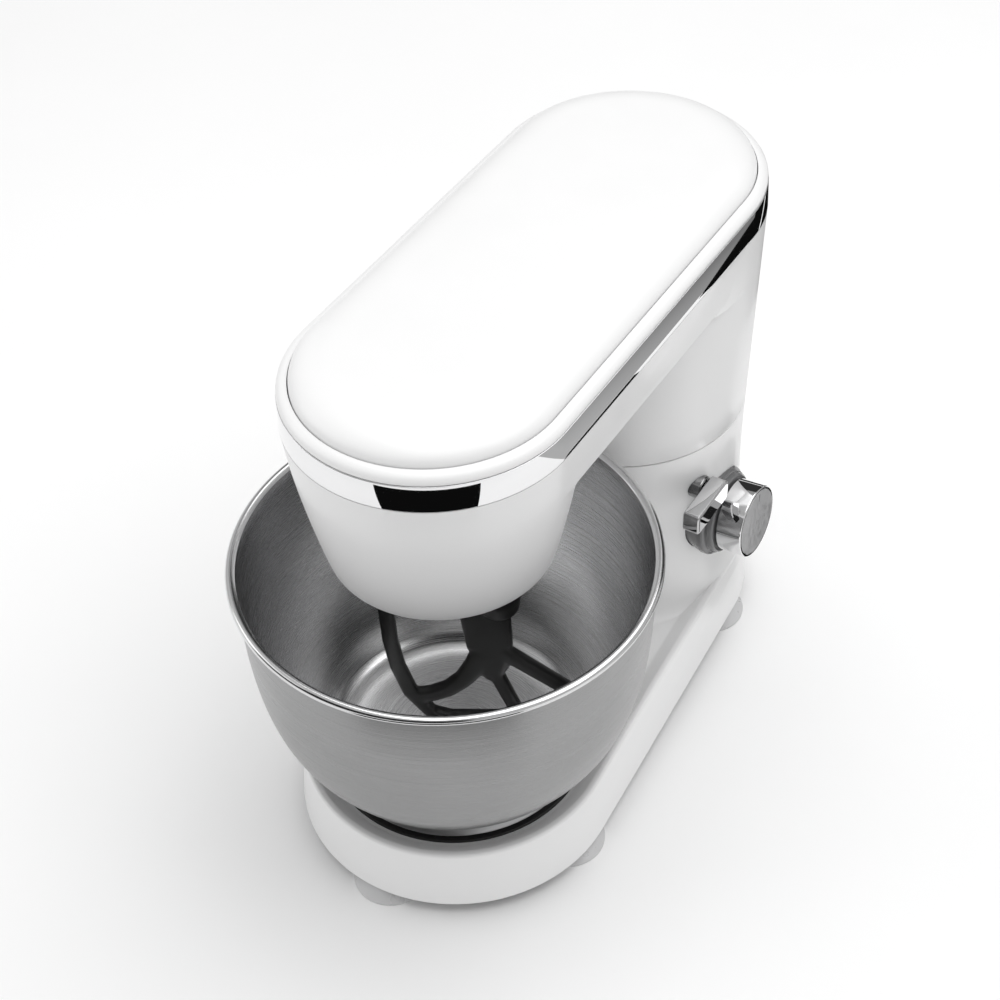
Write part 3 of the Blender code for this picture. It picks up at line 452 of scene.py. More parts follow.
# Lighter copies of the bowl's steel: one for the inside faces, one for the rim band as a painted highlight.
BOWL_INSIDE = ringed_steel("bowl_inside", (0.66, 0.66, 0.665), 0.24, MIX_Y)
RIM_STEEL_PAINTED_HIGHLIGHT = ringed_steel("rim_steel_painted_highlight", (0.72, 0.72, 0.725), 0.16, MIX_Y)
# Lighter steel for the foot ring: painted light against the shade under the bowl.
FOOT_STEEL_PAINTED_LIGHT = ringed_steel("foot_steel_painted_light", (0.62, 0.62, 0.625), 0.35, MIX_Y)

for entry in frame["record"]["subparts"]:
    cad = frame["nodes"][entry["node"]]
    cad.data.materials.clear()
    cad.data.materials.append(MATERIALS[entry["material_slot"]])
SLOT_OF = {entry["node"]: entry["material_slot"] for entry in frame["record"]["subparts"]}
BODY_OF = {node: name for name, nodes in frame["record"]["behaviour"]["bodies"].items() for node in nodes}


def stand_for(obj, node, material=None):
    """Let a fine piece take a CAD node's place, body, slot and finish."""
    obj.data.materials.clear()
    obj.data.materials.append(material or MATERIALS[SLOT_OF[node]])
    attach(obj, BODY_OF[node])
    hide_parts(node)
    return obj


def add_to(obj, body, slot, material=None):
    """Add a fine piece that no CAD node holds."""
    obj.data.materials.clear()
    obj.data.materials.append(material or MATERIALS[slot])
    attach(obj, body)
    return obj


# ---------------------------------------------------------------- base and column

def between(z, heights, values):
    """Value at one height along a smooth run of given values."""
    k = 0
    while k < len(heights) - 2 and z > heights[k + 1]:
        k += 1
    t = (z - heights[k]) / (heights[k + 1] - heights[k])

    def slope(i):
        if i <= 0 or i >= len(heights) - 1:
            j = 0 if i <= 0 else len(heights) - 2
            return (values[j + 1] - values[j]) / (heights[j + 1] - heights[j])
        return (values[i + 1] - values[i - 1]) / (heights[i + 1] - heights[i - 1])

    step = heights[k + 1] - heights[k]
    a, b = values[k], values[k + 1]
    ma, mb = slope(k) * step, slope(k + 1) * step
    t2, t3 = t * t, t * t * t
    return (2 * t3 - 3 * t2 + 1) * a + (t3 - 2 * t2 + t) * ma + (3 * t2 - 2 * t3) * b + (t3 - t2) * mb


COLUMN_HEIGHTS = (38.0, 47.0, 60.0, 80.0, 100.0, 130.0, SEAM_Z)
COLUMN_RADII = (73.0, 71.4, 70.2, 69.5, 69.2, 69.1, 69.9)
COLUMN_CENTRES = (110.5, 110.5, 109.2, 108.0, 107.4, COLUMN_Y, COLUMN_Y)
FOOT_FILLET = 14.0


def column_ring(z, shrink=0.0, flare=0.0):
    """Outline of the lower column at one height."""
    radius = between(z, COLUMN_HEIGHTS, COLUMN_RADII) - shrink
    centre = between(z, COLUMN_HEIGHTS, COLUMN_CENTRES)
    return outline(centre - flare - 0.01, radius, centre, radius, z)


def fillet(z, low, radius):
    """How far a concave fillet stands out at one height."""
    if z >= low + radius:
        return 0.0
    depth = low + radius - z
    return radius - math.sqrt(max(0.0, radius * radius - depth * depth))


def base_outline(z, inset):
    """Base outline at one height, drawn in by an inset."""
    return outline(MIX_Y, BASE_FRONT_R - inset, BASE_REAR_Y, BASE_REAR_R - inset, z)


def knob_axis():
    """Direction that the knob's face looks in, tipped up a little."""
    return Vector((math.cos(KNOB_PITCH), 0, math.sin(KNOB_PITCH)))


def base_shell():
    """Base and lower column as one hollow shell with a rolled deck edge."""
    corners = [
        (WALL, BASE_LOW), (0.0, BASE_LOW, 1.6), (3.5, BASE_TOP, 3.4), (7.0, BASE_TOP, 4.0),
        (15.6, DECK_Z, 9.0), (30.0, DECK_Z),
    ]
    path = rounded(corners, 7)
    shell = loft("base_shell", [base_outline(z, inset) for inset, z in path])
    low = DECK_Z - 0.15
    heights = [low + FOOT_FILLET * (1 - math.cos(math.radians(7.5 * i))) for i in range(13)]
    heights = [DECK_Z - 4.0] + heights + [64.0, 72.0, 80.0, 90.0, 100.0, 115.0, 130.0, 145.0]
    rings = [column_ring(z, flare=fillet(max(z, low), low, FOOT_FILLET)) for z in heights]
    top = SEAM_Z - GAP
    for z, inset in ((top - 0.6, 0.0), (top - 0.2, 0.2), (top, 0.6)):
        rings.append(column_ring(z, shrink=inset))
    join(shell, loft("column_outside", rings))
    hollow = loft("base_hollow", [base_outline(BASE_LOW - 2, WALL), base_outline(DECK_Z - WALL, 3.5 + WALL)])
    cut(shell, hollow)
    room = [column_ring(z, shrink=WALL) for z in (36.0, 47.0, 80.0, 130.0, top - WALL)]
    cut(shell, loft("column_room", room))
    cut(shell, block("lock_slot", (26, 60, 150), (42, 85, 170)))
    knob_hole = rod("knob_hole", 24.7, -45, -10, chamfer=0)
    cut(shell, move(knob_hole, aim(KNOB_FACE, knob_axis())))
    lever_hole = rod("lever_hole", 4.9, -12, 8, chamfer=0)
    cut(shell, move(lever_hole, aim(LEVER, (1, 0, 0))))
    gland_hole = rod("gland_hole", 8.3, -12, 12, chamfer=0)
    cut(shell, move(gland_hole, aim(GLAND, (0, 1, 0))))
    return stand_for(smooth(shell), "base_housing")


def seam_shadow_strip():
    """Thin black strip in the gap between the lower and the upper column, a painted shadow that darkens the
    seam line.
    """
    low, high = SEAM_Z - GAP, SEAM_Z + GAP
    rings = [column_ring(z, shrink=inset) for inset, z in ((0.9, low), (0.9, high), (2.9, high), (2.9, low))]
    return add_to(loft("column_seam_shadow", rings, closed=True), "base", "black_rubber")


# ---------------------------------------------------------------- head

NOSE_HEIGHTS = (NOSE_LOW, 203.0, 215.0, 235.0, 260.0, BAND_LOW)
NOSE_RADII = (57.2, 58.8, 61.5, 65.6, 69.75, 72.35)


def head_outline(z, inset):
    """Outline of the head from above, drawn in by an inset."""
    r = HEAD_R - inset
    return outline(HEAD_FRONT_Y, r, HEAD_REAR_Y, r, z)


def nose_ring(z, shrink=0.0, grow=0.0):
    """Circle of the nose at one height; grow pushes its rear side out for a fillet."""
    radius = between(z, NOSE_HEIGHTS, NOSE_RADII) - shrink
    points = []
    for i in range(ROUND):
        turn = 2 * math.pi * i / ROUND
        back = max(0.0, math.sin(turn))
        r = radius + grow * back * back * (3 - 2 * back)
        points.append((r * math.cos(turn), HEAD_FRONT_Y + r * math.sin(turn), z))
    return points


def head_column_ring(z, shrink=0.0, grow=0.0):
    """Circle of the upper column; grow pushes its front side out for a fillet."""
    t = (z - SEAM_Z) / (BAND_LOW - SEAM_Z)
    radius = 69.9 + 2.45 * t - shrink
    centre = COLUMN_Y + (HEAD_REAR_Y - COLUMN_Y) * t
    points = []
    for i in range(ROUND):
        turn = 2 * math.pi * i / ROUND
        front = max(0.0, -math.sin(turn))
        r = radius + grow * front * front * (3 - 2 * front)
        points.append((r * math.cos(turn), centre + r * math.sin(turn), z))
    return points


def tilt_relief():
    """Prism that rounds the shell's rear edge so that it rolls clear of the column."""
    depth = TILT_Z - SEAM_Z - GAP
    last = TILT_MAX + math.radians(0.5)
    side = []
    for i in range(25):
        turn = last * i / 24
        side.append((depth * math.sin(turn), -depth * math.cos(turn)))
    reach, half_width = 60.0, 80.0
    side.append((side[-1][0] + reach * math.cos(last), side[-1][1] + reach * math.sin(last)))
    side.append((side[-1][0], -reach))
    side.append((0.0, -reach))
    rings = []
    for x in (-half_width, half_width):
        rings.append([(x, TILT_Y + y, TILT_Z + z) for y, z in side])
    return loft("relief", rings)


def head_shell():
    """Nose, arm and upper column as one shell with filleted undersides."""
    arm_path = rounded([(20.0, ARM_LOW), (4.2, ARM_LOW, 4.0), (2.65, 260.0), (0.0, BAND_LOW)], 7)
    shell = loft("head_body", [head_outline(z, inset) for inset, z in arm_path])
    bend = 7.0
    under = ARM_LOW + 0.15
    steps = []
    for i in range(13):
        z = under - bend + bend * math.sin(math.radians(7.5 * i))
        steps.append((z, bend - math.sqrt(max(0.0, bend ** 2 - (z - under + bend) ** 2))))
    nose = []
    lip = rounded([(6.0, NOSE_LOW), (0.0, NOSE_LOW, 1.4), (0.0, NOSE_LOW + 6)], 5)
    for inset, z in lip[:-1]:
        nose.append(nose_ring(z, shrink=inset))
    for z in (203.0, 209.0, 215.0, 222.0, 229.0, 236.0):
        nose.append(nose_ring(z))
    for z, grow in steps:
        nose.append(nose_ring(z, grow=grow))
    nose.append(nose_ring(ARM_LOW + 5))
    nose += [nose_ring(z) for z in (262.0, 268.0, 276.0, BAND_LOW)]
    join(shell, loft("nose", nose))
    column = []
    low = SEAM_Z + GAP
    for z, inset in ((low, 0.6), (low + 0.2, 0.2), (low + 0.6, 0.0)):
        column.append(head_column_ring(z, shrink=inset))
    for z in (175.0, 190.0, 205.0, 220.0, 235.0):
        column.append(head_column_ring(z))
    for z, grow in steps:
        column.append(head_column_ring(z, grow=grow))
    column.append(head_column_ring(ARM_LOW + 5))
    column.append(head_column_ring(BAND_LOW))
    join(shell, loft("column", column))
    cut(shell, loft("arm_room", [head_outline(ARM_LOW + 3, 7.4), head_outline(BAND_LOW + 5, WALL)]))
    throat = [nose_ring(z, WALL) for z in (NOSE_LOW, 203.0, 215.0, 235.0, 270.0)]
    throat.insert(0, circle(0, HEAD_FRONT_Y, NOSE_LOW - 3, 53.7, ROUND))
    cut(shell, loft("throat", throat))
    cut(shell, loft("column_room", [head_column_ring(z, WALL) for z in (SEAM_Z - 5, 275.0)]))
    cut(shell, tilt_relief())
    return stand_for(smooth(shell), "head_shell")


def head_ring(name, corners, steps=6):
    """Closed ring that follows the head's outline; corners are (inset, z, radius)."""
    path = rounded(corners, steps)
    return loft(name, [head_outline(z, inset) for inset, z in path[:-1]], closed=True)


def band():
    """Bright band around the head, its edges just broken."""
    low, high = BAND_LOW + GAP, BAND_HIGH
    corners = [
        (1.5, low), (0.0, low, 0.25), (0.5, high, 0.25), (3.2, high, 0.2), (3.2, low, 0.2), (1.5, low),
    ]
    return stand_for(head_ring("bright_band", corners, 3), "chrome_band")


def bead():
    """White quarter-round bead over the band."""
    low = BEAD_BOX[0].z
    path = [(6.2, low), (1.0, low)]
    for i in range(13):
        turn = math.radians(180 - 90 * i / 12)
        path.append((6.2 + 5.6 * math.cos(turn) * 0.98, low + 1.0 + (BEAD_HIGH - low - 1.0) * math.sin(turn)))
    obj = loft("cover_bead", [head_outline(z, inset) for inset, z in path], closed=True)
    return stand_for(obj, "cover_rim")


def dome():
    """Domed top cover with a soft shoulder."""
    edge = 6.7
    low = COVER_BOX[0].z
    outer = [(edge, low), (edge, 302.9)]
    shoulder = 21.0
    rise = HEAD_TOP - 0.6 - 303.2
    for i in range(1, 15):
        turn = math.radians(90.0 * i / 14)
        outer.append((edge + shoulder * (1 - math.cos(turn) ** 0.9), 303.2 + rise * math.sin(turn) ** 0.9))
    for i in range(1, 7):
        t = i / 6
        outer.append((edge + shoulder + (62.0 - shoulder - edge) * t, HEAD_TOP - 0.6 * (1 - t) ** 2))
    inner = [(62.0, HEAD_TOP - 3.0), (30.0, 309.6), (13.0, 306.0), (9.7, 302.0), (9.7, low)]
    bm = bmesh.new()
    rows = [[bm.verts.new(p) for p in head_outline(z, inset)] for inset, z in outer + inner]
    crown = len(outer) - 1
    for k, (a, b) in enumerate(zip(rows, rows[1:] + rows[:1])):
        if k == crown:
            continue
        for i in range(len(a)):
            j = (i + 1) % len(a)
            bm.faces.new((a[i], a[j], b[j], b[i]))
    bm.faces.new(rows[crown])
    bm.faces.new(rows[crown + 1])
    return stand_for(finish_mesh("domed_cover", bm), "top_cover")


# ---------------------------------------------------------------- bowl

def bowl():
    """Steel bowl with a rolled rim and a thin wall, its steel in lit and shaded copies: the outside darkened
    as painted shade, the inside lighter, the rim band lighter still as a painted highlight.
    """
    heights = (53.0, 64.5, 79.5, 95.0, 115.0, 140.0, 165.0, 181.0)
    radii = (69.0, 80.2, 90.3, 97.1, 101.9, 104.7, 105.6, 105.9)
    wall = 1.3
    outside = [
        (0.0, 46.1), (20.0, 46.1), (38.0, 46.1), (50.0, 46.4), (57.0, 47.1), (62.5, 48.7), (66.0, 50.6),
    ]
    steps = 40
    for i in range(steps + 1):
        z = heights[0] + (heights[-1] - heights[0]) * (i / steps) ** 1.5
        outside.append((between(z, heights, radii), z))
    inside = [(0.0, outside[0][1] + wall)]
    for before, (r, z), after in zip(outside, outside[1:], outside[2:]):
        along = Vector((after[0] - before[0], after[1] - before[1])).normalized()
        inside.append((r - along.y * wall, z + along.x * wall))
    for i in range(13):
        turn = math.radians(-115 + 235 * i / 12)
        outside.append((RIM_R - ROLL_R + ROLL_R * math.cos(turn), RIM_Z + ROLL_R * math.sin(turn)))
    inside += [(104.6, heights[-1]), (105.0, RIM_Z + 0.6)]
    inside.reverse()
    obj = turned("steel_bowl", outside + inside, 0, MIX_Y, 144)
    stand_for(obj, "mixing_bowl")
    obj.data.materials.append(BOWL_INSIDE)
    obj.data.materials.append(RIM_STEEL_PAINTED_HIGHLIGHT)
    # Slots: 0 darkened outside steel (painted shade), 1 lighter inside steel, 2 rim band steel (painted
    # highlight).
    for face in obj.data.polygons:
        if face.center.z > (BOWL_BOX[1].z - RIM_HIGHLIGHT_BAND) * MM:
            face.material_index = 2
            continue
        out = Vector((face.center.x, face.center.y - MIX_Y * MM, 0.0))
        facing = face.normal.dot(out) if out.length > 0.05 else -face.normal.z
        if facing < 0:
            face.material_index = 1
    return obj


def foot_ring():
    """Ring pressed on to the bowl's bottom, in a lighter copy of the steel: painted light against the shade
    under the bowl.
    """
    low, high = FOOT_BOX[0].z, FOOT_BOX[1].z
    corners = [
        (63.0, high - 2.0), (63.0, low, 0.4), (68.4, low, 0.15), (68.4, low + 0.4, 0.15),
        (66.6, low + 2.6, 1.5), (65.4, high - 0.6, 0.8), (64.0, high - 0.4, 0.4), (63.0, high - 2.0),
    ]
    ring = turned("bowl_foot_ring", rounded(corners, 4)[:-1], 0, MIX_Y, 144)
    return stand_for(ring, "bowl_foot", FOOT_STEEL_PAINTED_LIGHT)


def seat():
    """Dark bayonet ring under the bowl."""
    low = DECK_Z + GAP
    corners = [
        (52.0, low), (71.9, low, 0.3), (71.0, low + 1.4, 0.5), (62.5, low + 1.4, 0.8),
        (62.5, low + 3.9, 0.5), (58.0, low + 3.9, 0.5), (58.0, low + 1.2, 0.8), (52.0, low + 1.2, 0.3),
        (52.0, low),
    ]
    ring = turned("bayonet_seat", rounded(corners, 4)[:-1], 0, MIX_Y)
    return stand_for(ring, "bowl_seat")


# ---------------------------------------------------------------- knob and lever

def along_knob(obj):
    """Lay a piece made along +Z onto the knob's axis, its zero on the face."""
    return move(obj, aim(KNOB_FACE, knob_axis()))


def knob():
    """Chrome cup of the knob with a crisp rim around its face."""
    r = KNOB_R
    corners = [
        (3.4, -13.0), (6.0, -13.0, 0.3), (6.0, -3.2, 0.5), (r - 2.0, -3.2, 0.5), (r - 2.0, -15.2, 0.2),
        (r, -15.2, 0.5), (r, -0.1, 1.3), (r - 1.6, -0.1, 0.3), (r - 1.6, -0.7), (3.4, -0.7), (3.4, -13.0),
    ]
    cup = along_knob(turned("knob_cup", rounded(corners, 5)[:-1]))
    return stand_for(cup, "speed_knob")


def knob_disc():
    """Satin face disc with its pointer groove."""
    edge = KNOB_R - 1.8
    corners = [(0, -0.4), (edge, -0.4), (edge, 0.0, 0.15), (0, 0.0)]
    disc = turned("knob_disc", rounded(corners, 3))
    half_width = 0.45
    groove = block("groove", (-half_width, KNOB_R - 8.6, -1.0), (half_width, KNOB_R - 3.2, 1.0))
    move(groove, Matrix.Rotation(POINTER_TURN, 4, "Z"))
    cut(disc, groove)
    smooth(disc)
    return stand_for(along_knob(disc), "knob_face")


def column_skin(name):
    """Solid of the column a gap larger than it is, which cuts a curved seat."""
    heights = (60.0, 70.0, 80.0, 90.0, 100.0, 115.0, 130.0, 150.0)
    return loft(name, [column_ring(z, shrink=-GAP) for z in heights])


def bezel():
    """Dark flared ring between the knob and the round column."""
    corners = [
        (4.0, -16.4), (22.4, -16.4, 0.4), (23.3, -17.2, 0.6), (24.1, -20.6, 0.8), (25.8, -21.3, 0.4),
        (26.3, -22.2, 0.4), (26.3, -25.0, 0.5), (22.0, -38.0), (4.0, -38.0), (4.0, -16.4),
    ]
    ring = along_knob(turned("knob_seat", rounded(corners, 5)[:-1]))
    cut(ring, column_skin("seat_cut"))
    neck = turned("neck", [(14.0, -33.0), (24.2, -33.0), (24.2, -19.0), (14.0, -19.0)])
    join(ring, along_knob(neck))
    return stand_for(smooth(ring), "knob_bezel")


def lever():
    """Square-ended chrome lever with round corners and bright chamfers, its chrome darkened as painted shade.
    """
    low, high = LEVER_BOX[0].x, LEVER_BOX[1].x
    corner, edge = 2.6, 0.8
    y0, y1 = LEVER_BOX[0].y + corner, LEVER_BOX[1].y - corner
    z0, z1 = LEVER_BOX[0].z + corner, LEVER_BOX[1].z - corner
    corners = [
        (corner, low), (corner - 0.3, low), (edge, low, 0.3), (0.0, low + edge, 0.3),
        (0.0, high - edge, 0.35), (edge, high, 0.35), (corner - 0.3, high),
    ]
    rings = []
    for inset, x in rounded(corners, 4)[1:]:
        reach = corner - inset
        ring = []
        for quarter, (y, z) in enumerate(((y1, z1), (y0, z1), (y0, z0), (y1, z0))):
            for i in range(13):
                turn = math.radians(90 * quarter + 7.5 * i)
                ring.append((x, y + reach * math.cos(turn), z + reach * math.sin(turn)))
        rings.append(ring)
    return stand_for(loft("head_lever", rings), "lock_lever", LEVER_CHROME_PAINTED_SHADE)


def collar():
    """Chrome collar where the lever's shaft leaves the column, its chrome darkened further as painted shade.
    """
    corners = [(3.8, -3.0), (6.9, -3.0), (6.9, 5.0, 2.2), (4.6, 5.4, 1.0), (3.8, 5.4, 0.2), (3.8, -3.0)]
    ring = turned("collar", rounded(corners, 4)[:-1], count=64)
    move(ring, aim(LEVER, (1, 0, 0)))
    cut(ring, column_skin("collar_cut"))
    neck = turned("collar_neck", [(3.8, -8.0), (4.6, -8.0), (4.6, 4.0), (3.8, 4.0)], count=64)
    join(ring, move(neck, aim(LEVER, (1, 0, 0))))
    return stand_for(smooth(ring), "lever_collar", COLLAR_CHROME_PAINTED_SHADE)


# ---------------------------------------------------------------- feet, screws, gland

def feet():
    """Round suction feet with a soft lip."""
    for node in [name for name in SLOT_OF if name.startswith("foot_")]:
        low, high = box_mm(node)
        x, y = (low.x + high.x) / 2, (low.y + high.y) / 2
        corners = [
            (0, 4.0), (9.0, 3.6, 4.0), (16.5, 1.6, 4.0), (19.2, 0.0, 0.3), (20.6, 0.0, 0.5),
            (20.8, 1.3, 0.6), (16.2, 5.4, 4.0), (13.6, 8.7, 0.8), (6.0, 8.7, 0.6), (5.6, 9.7, 0.3), (0, 9.7),
        ]
        stand_for(turned("suction_" + node, rounded(corners, 4), x, y, 72), node)


def screws():
    """Pan-head screws under the base, each with a cross recess."""
    for node in [name for name in SLOT_OF if name.startswith("base_screw_")]:
        low, high = box_mm(node)
        x, y = (low.x + high.x) / 2, (low.y + high.y) / 2
        head = low.z + 1.9
        corners = [
            (0, low.z), (2.4, low.z + 0.1, 1.5), (3.9, head - 0.8, 0.6), (3.9, head, 0.1), (2.0, head, 0.1),
            (2.0, high.z - 2.0, 0.6), (0, high.z),
        ]
        obj = turned("fixing_" + node, rounded(corners, 4), x, y, 36)
        for turn in (0, 90):
            bar = block("recess", (-2.2, -0.35, low.z - 1), (2.2, 0.35, low.z + 0.9))
            move(bar, Matrix.Rotation(math.radians(turn), 4, "Z"))
            cut(obj, move(bar, Matrix.Translation((x, y, 0))))
        stand_for(smooth(obj), node)


def gland():
    """Black gland in the rear wall."""
    corners = [(3.6, -6.0), (8.0, -6.0, 0.3), (8.0, 2.5, 0.8), (5.2, 2.5, 0.5), (3.6, 1.6, 0.5), (3.6, -6.0)]
    obj = turned("lead_gland", rounded(corners, 4)[:-1], count=64)
    return stand_for(move(obj, aim(GLAND + Vector((0, GAP, 0)), (0, 1, 0))), "cord_gland")


# ---------------------------------------------------------------- beater and planet disc

def stroke(bm, start, end, wide_start, wide_end, thick):
    """Add a bar with rounded edges between two points (s, z) of the beater's plane."""
    (s0, z0), (s1, z1) = start, end
    along = Vector((s1 - s0, 0, z1 - z0))
    length = along.length
    along.normalize()
    across = Vector((along.z, 0, -along.x))
    loops = []
    steps = 20
    for k in range(25):
        t = k / 24
        wide = (wide_start + (wide_end - wide_start) * t) / 2
        centre = Vector((s0, 0, z0)) + along * (length * t)
        loop = []
        for i in range(steps):
            turn = 2 * math.pi * i / steps
            c, s = math.cos(turn), math.sin(turn)
            a = wide * math.copysign(abs(c) ** 0.55, c)
            b = thick / 2 * math.copysign(abs(s) ** 0.7, s)
            loop.append(bm.verts.new(centre + across * a + Vector((0, b, 0))))
        loops.append(loop)
    for low, high in zip(loops, loops[1:]):
        for i in range(steps):
            j = (i + 1) % steps
            bm.faces.new((low[i], low[j], high[j], high[i]))
    bm.faces.new(loops[0])
    bm.faces.new(loops[-1])
    for point, wide in (((s0, z0), wide_start), ((s1, z1), wide_end)):
        made = bmesh.ops.create_uvsphere(bm, u_segments=16, v_segments=10, radius=1.0)["verts"]
        bmesh.ops.scale(bm, vec=(wide / 2, thick / 2, wide / 2), verts=made)
        bmesh.ops.translate(bm, vec=(point[0], 0, point[1]), verts=made)


BEATER_STROKES = (
    ((-8, 143), (-6, 112), 28.0, 25.0),
    ((-6, 116), (-4, 97), 25.0, 17.0),
    ((-4, 99), (-5, 90), 17.0, 12.0),
    ((0, 152), (-59, 146), 11.0, 9.5),
    ((-59, 146), (-58, 116), 8.5, 8.5),
    ((-58, 116), (-55.4, 96), 8.5, 8.5),
    ((-55.4, 96), (-50, 76), 8.5, 8.5),
    ((-50, 76), (-39.5, 58.5), 8.5, 7.5),
    ((-9, 106), (-14, 96), 15.0, 13.0),
    ((-14, 96), (-20.5, 85.5), 13.0, 11.0),
    ((-20.5, 85.5), (-29, 77.5), 11.0, 10.0),
    ((-29, 77.5), (-38, 73.5), 10.0, 9.5),
    ((-38, 73.5), (-48, 72), 9.5, 9.0),
    ((-4, 92), (8, 56.5), 8.5, 7.5),
    ((0, 108), (33, 78.5), 10.0, 8.5),
    ((33, 78.5), (38, 74), 8.5, 8.0),
    ((-39.5, 58.5), (-29, 55.3), 7.5, 5.2),
    ((-29, 55.3), (8, 55), 5.2, 5.0),
    ((8, 55), (30.5, 59.5), 5.0, 6.0),
    ((30.5, 59.5), (38, 74), 6.0, 7.8),
)


def beater():
    """Flat beater cast in one piece, its bars running softly into each other."""
    bm = bmesh.new()
    for start, end, wide_start, wide_end in BEATER_STROKES:
        stroke(bm, start, end, wide_start, wide_end, 7.0)
    bmesh.ops.recalc_face_normals(bm, faces=bm.faces)
    hub = [
        (0, 138.0), (8.0, 139.0), (10.5, 141.5), (11.7, 150.0),
        (11.4, 165.0), (10.4, 182.5), (9.4, 184.4), (0, 184.5),
    ]
    sides = 48
    rings = []
    for radius, z in hub:
        rings.append([bm.verts.new(p) for p in circle(0, 0, z, max(radius, 0.01), sides)])
    for low, high in zip(rings, rings[1:]):
        for i in range(sides):
            j = (i + 1) % sides
            bm.faces.new((low[i], low[j], high[j], high[i]))
    bm.faces.new(rings[0])
    bm.faces.new(rings[-1])
    obj = finish_mesh("cast_beater", bm)
    remesh = obj.modifiers.new("remesh", "REMESH")
    remesh.mode = "VOXEL"
    remesh.voxel_size = 0.9 * MM
    soften = obj.modifiers.new("soften", "SMOOTH")
    soften.factor = 0.5
    soften.iterations = 6
    apply_modifiers(obj)
    bore = rod("bore", 4.3, 156, 190, chamfer=0)
    cut(obj, bore)
    smooth(obj, 40)
    move(obj, Matrix.Translation((TOOL_X, TOOL_Y, 0)) @ Matrix.Rotation(BEATER_ANGLE, 4, "Z"))
    return stand_for(obj, "flat_beater")


def planet_disc():
    """Dark disc that closes the nose, with rings turned in its face."""
    low = CARRIER_BOX[0].z
    corners = [
        (0, low + 0.6), (14.0, low + 0.6, 1.0), (16.0, low, 1.0), (30.0, low, 1.0), (31.0, low + 0.7, 0.5),
        (33.0, low + 0.7, 0.5), (34.0, low, 1.0), (49.9, low + 0.6, 2.5), (50.0, low + 6.3, 0.5),
        (9.0, low + 6.8, 1.0), (9.0, CARRIER_BOX[1].z, 0.5), (0, CARRIER_BOX[1].z),
    ]
    disc = turned("planet_disc", rounded(corners, 4), 0, MIX_Y)
    cut(disc, rod("bore", 4.3, 190, 215, TOOL_X, TOOL_Y, chamfer=0))
    return stand_for(smooth(disc), "planet_carrier")


def tool_parts():
    """Tool shaft and its cross pin with broken edges."""
    shaft = rod("drive_spindle", 4.0, TOOL_BOX[0].z, TOOL_BOX[1].z, TOOL_X, TOOL_Y, 48, 0.8)
    across = aim((TOOL_X, TOOL_Y, CROSS_PIN_Z), (0, 1, 0))
    hole = move(rod("hole", 1.8, -6, 6, chamfer=0, count=24), across)
    cut(shaft, hole)
    stand_for(smooth(shaft), "tool_shaft")
    stand_for(move(rod("cross_pin", 1.5, -8, 8, count=32), across), "drive_pin")


def bottom_plate():
    """Base plate with softened edges and the holes for its screws."""
    low, high = PLATE_BOX[0].z, PLATE_BOX[1].z
    path = rounded([(30.0, low), (4.1, low, 0.6), (4.2, high, 0.4), (30.0, high)], 3)
    plate = loft("under_cover", [base_outline(z, inset) for inset, z in path])
    for node in [name for name in SLOT_OF if name.startswith("base_screw_")]:
        a, b = box_mm(node)
        cut(plate, rod("hole", 2.3, 5, 20, (a.x + b.x) / 2, (a.y + b.y) / 2, 24, 0))
    return stand_for(smooth(plate), "base_plate")


# ---------------------------------------------------------------- studio

def floor():
    """Pale seamless floor."""
    bm = bmesh.new()
    size = 6000.0
    corners = ((-size, -size, 0), (size, -size, 0), (size, size, 0), (-size, size, 0))
    bm.faces.new([bm.verts.new(c) for c in corners])
    obj = finish_mesh("floor", bm)
    mat = Nodes("floor_paper")
    mat.set(Specular_IOR_Level=0.1)
    mat.colour(mat.tint(mat.noise(3.0, 3.0), (0.94, 0.94, 0.94), (0.96, 0.96, 0.96)))
    mat.roughness(mat.span(mat.noise(30.0), 0.75, 0.9))
    obj.data.materials.append(mat.material)


def lamp(name, place, target, size, power):
    """Large soft rectangular light that points at a target."""
    light = bpy.data.lights.new(name, "AREA")
    light.shape = "RECTANGLE"
    light.size, light.size_y = size
    light.energy = power
    obj = bpy.data.objects.new(name, light)
    obj.location = place
    aimed = Vector(target) - Vector(place)
    obj.rotation_euler = aimed.to_track_quat("-Z", "Y").to_euler()
    bpy.context.scene.collection.objects.link(obj)
    return obj


def card(name, points, glow, shade_along=None):
    """Flat card that only reflections see; glow is its brightness."""
    bm = bmesh.new()
    bm.faces.new([bm.verts.new(point) for point in points])
    obj = finish_mesh(name, bm)
    mat = bpy.data.materials.new(name)
    mat.use_nodes = True
    tree = mat.node_tree
    tree.nodes.remove(tree.nodes["Principled BSDF"])
    light = tree.nodes.new("ShaderNodeEmission")
    light.inputs["Color"].default_value = (glow, glow, glow, 1.0)
    if shade_along:
        start, end, far_glow = shade_along
        coords = tree.nodes.new("ShaderNodeTexCoord")
        split = tree.nodes.new("ShaderNodeSeparateXYZ")
        tree.links.new(coords.outputs["Object"], split.inputs["Vector"])
        ramp = tree.nodes.new("ShaderNodeMapRange")
        ramp.inputs["From Min"].default_value = start * MM
        ramp.inputs["From Max"].default_value = end * MM
        ramp.inputs["To Min"].default_value = glow
        ramp.inputs["To Max"].default_value = far_glow
        tree.links.new(split.outputs["Y"], ramp.inputs["Value"])
        tree.links.new(ramp.outputs["Result"], light.inputs["Color"])
    tree.links.new(light.outputs["Emission"], tree.nodes["Material Output"].inputs["Surface"])
    obj.data.materials.append(mat)
    for ray in ("camera", "diffuse", "shadow", "transmission", "volume_scatter"):
        setattr(obj, "visible_" + ray, False)
    return obj


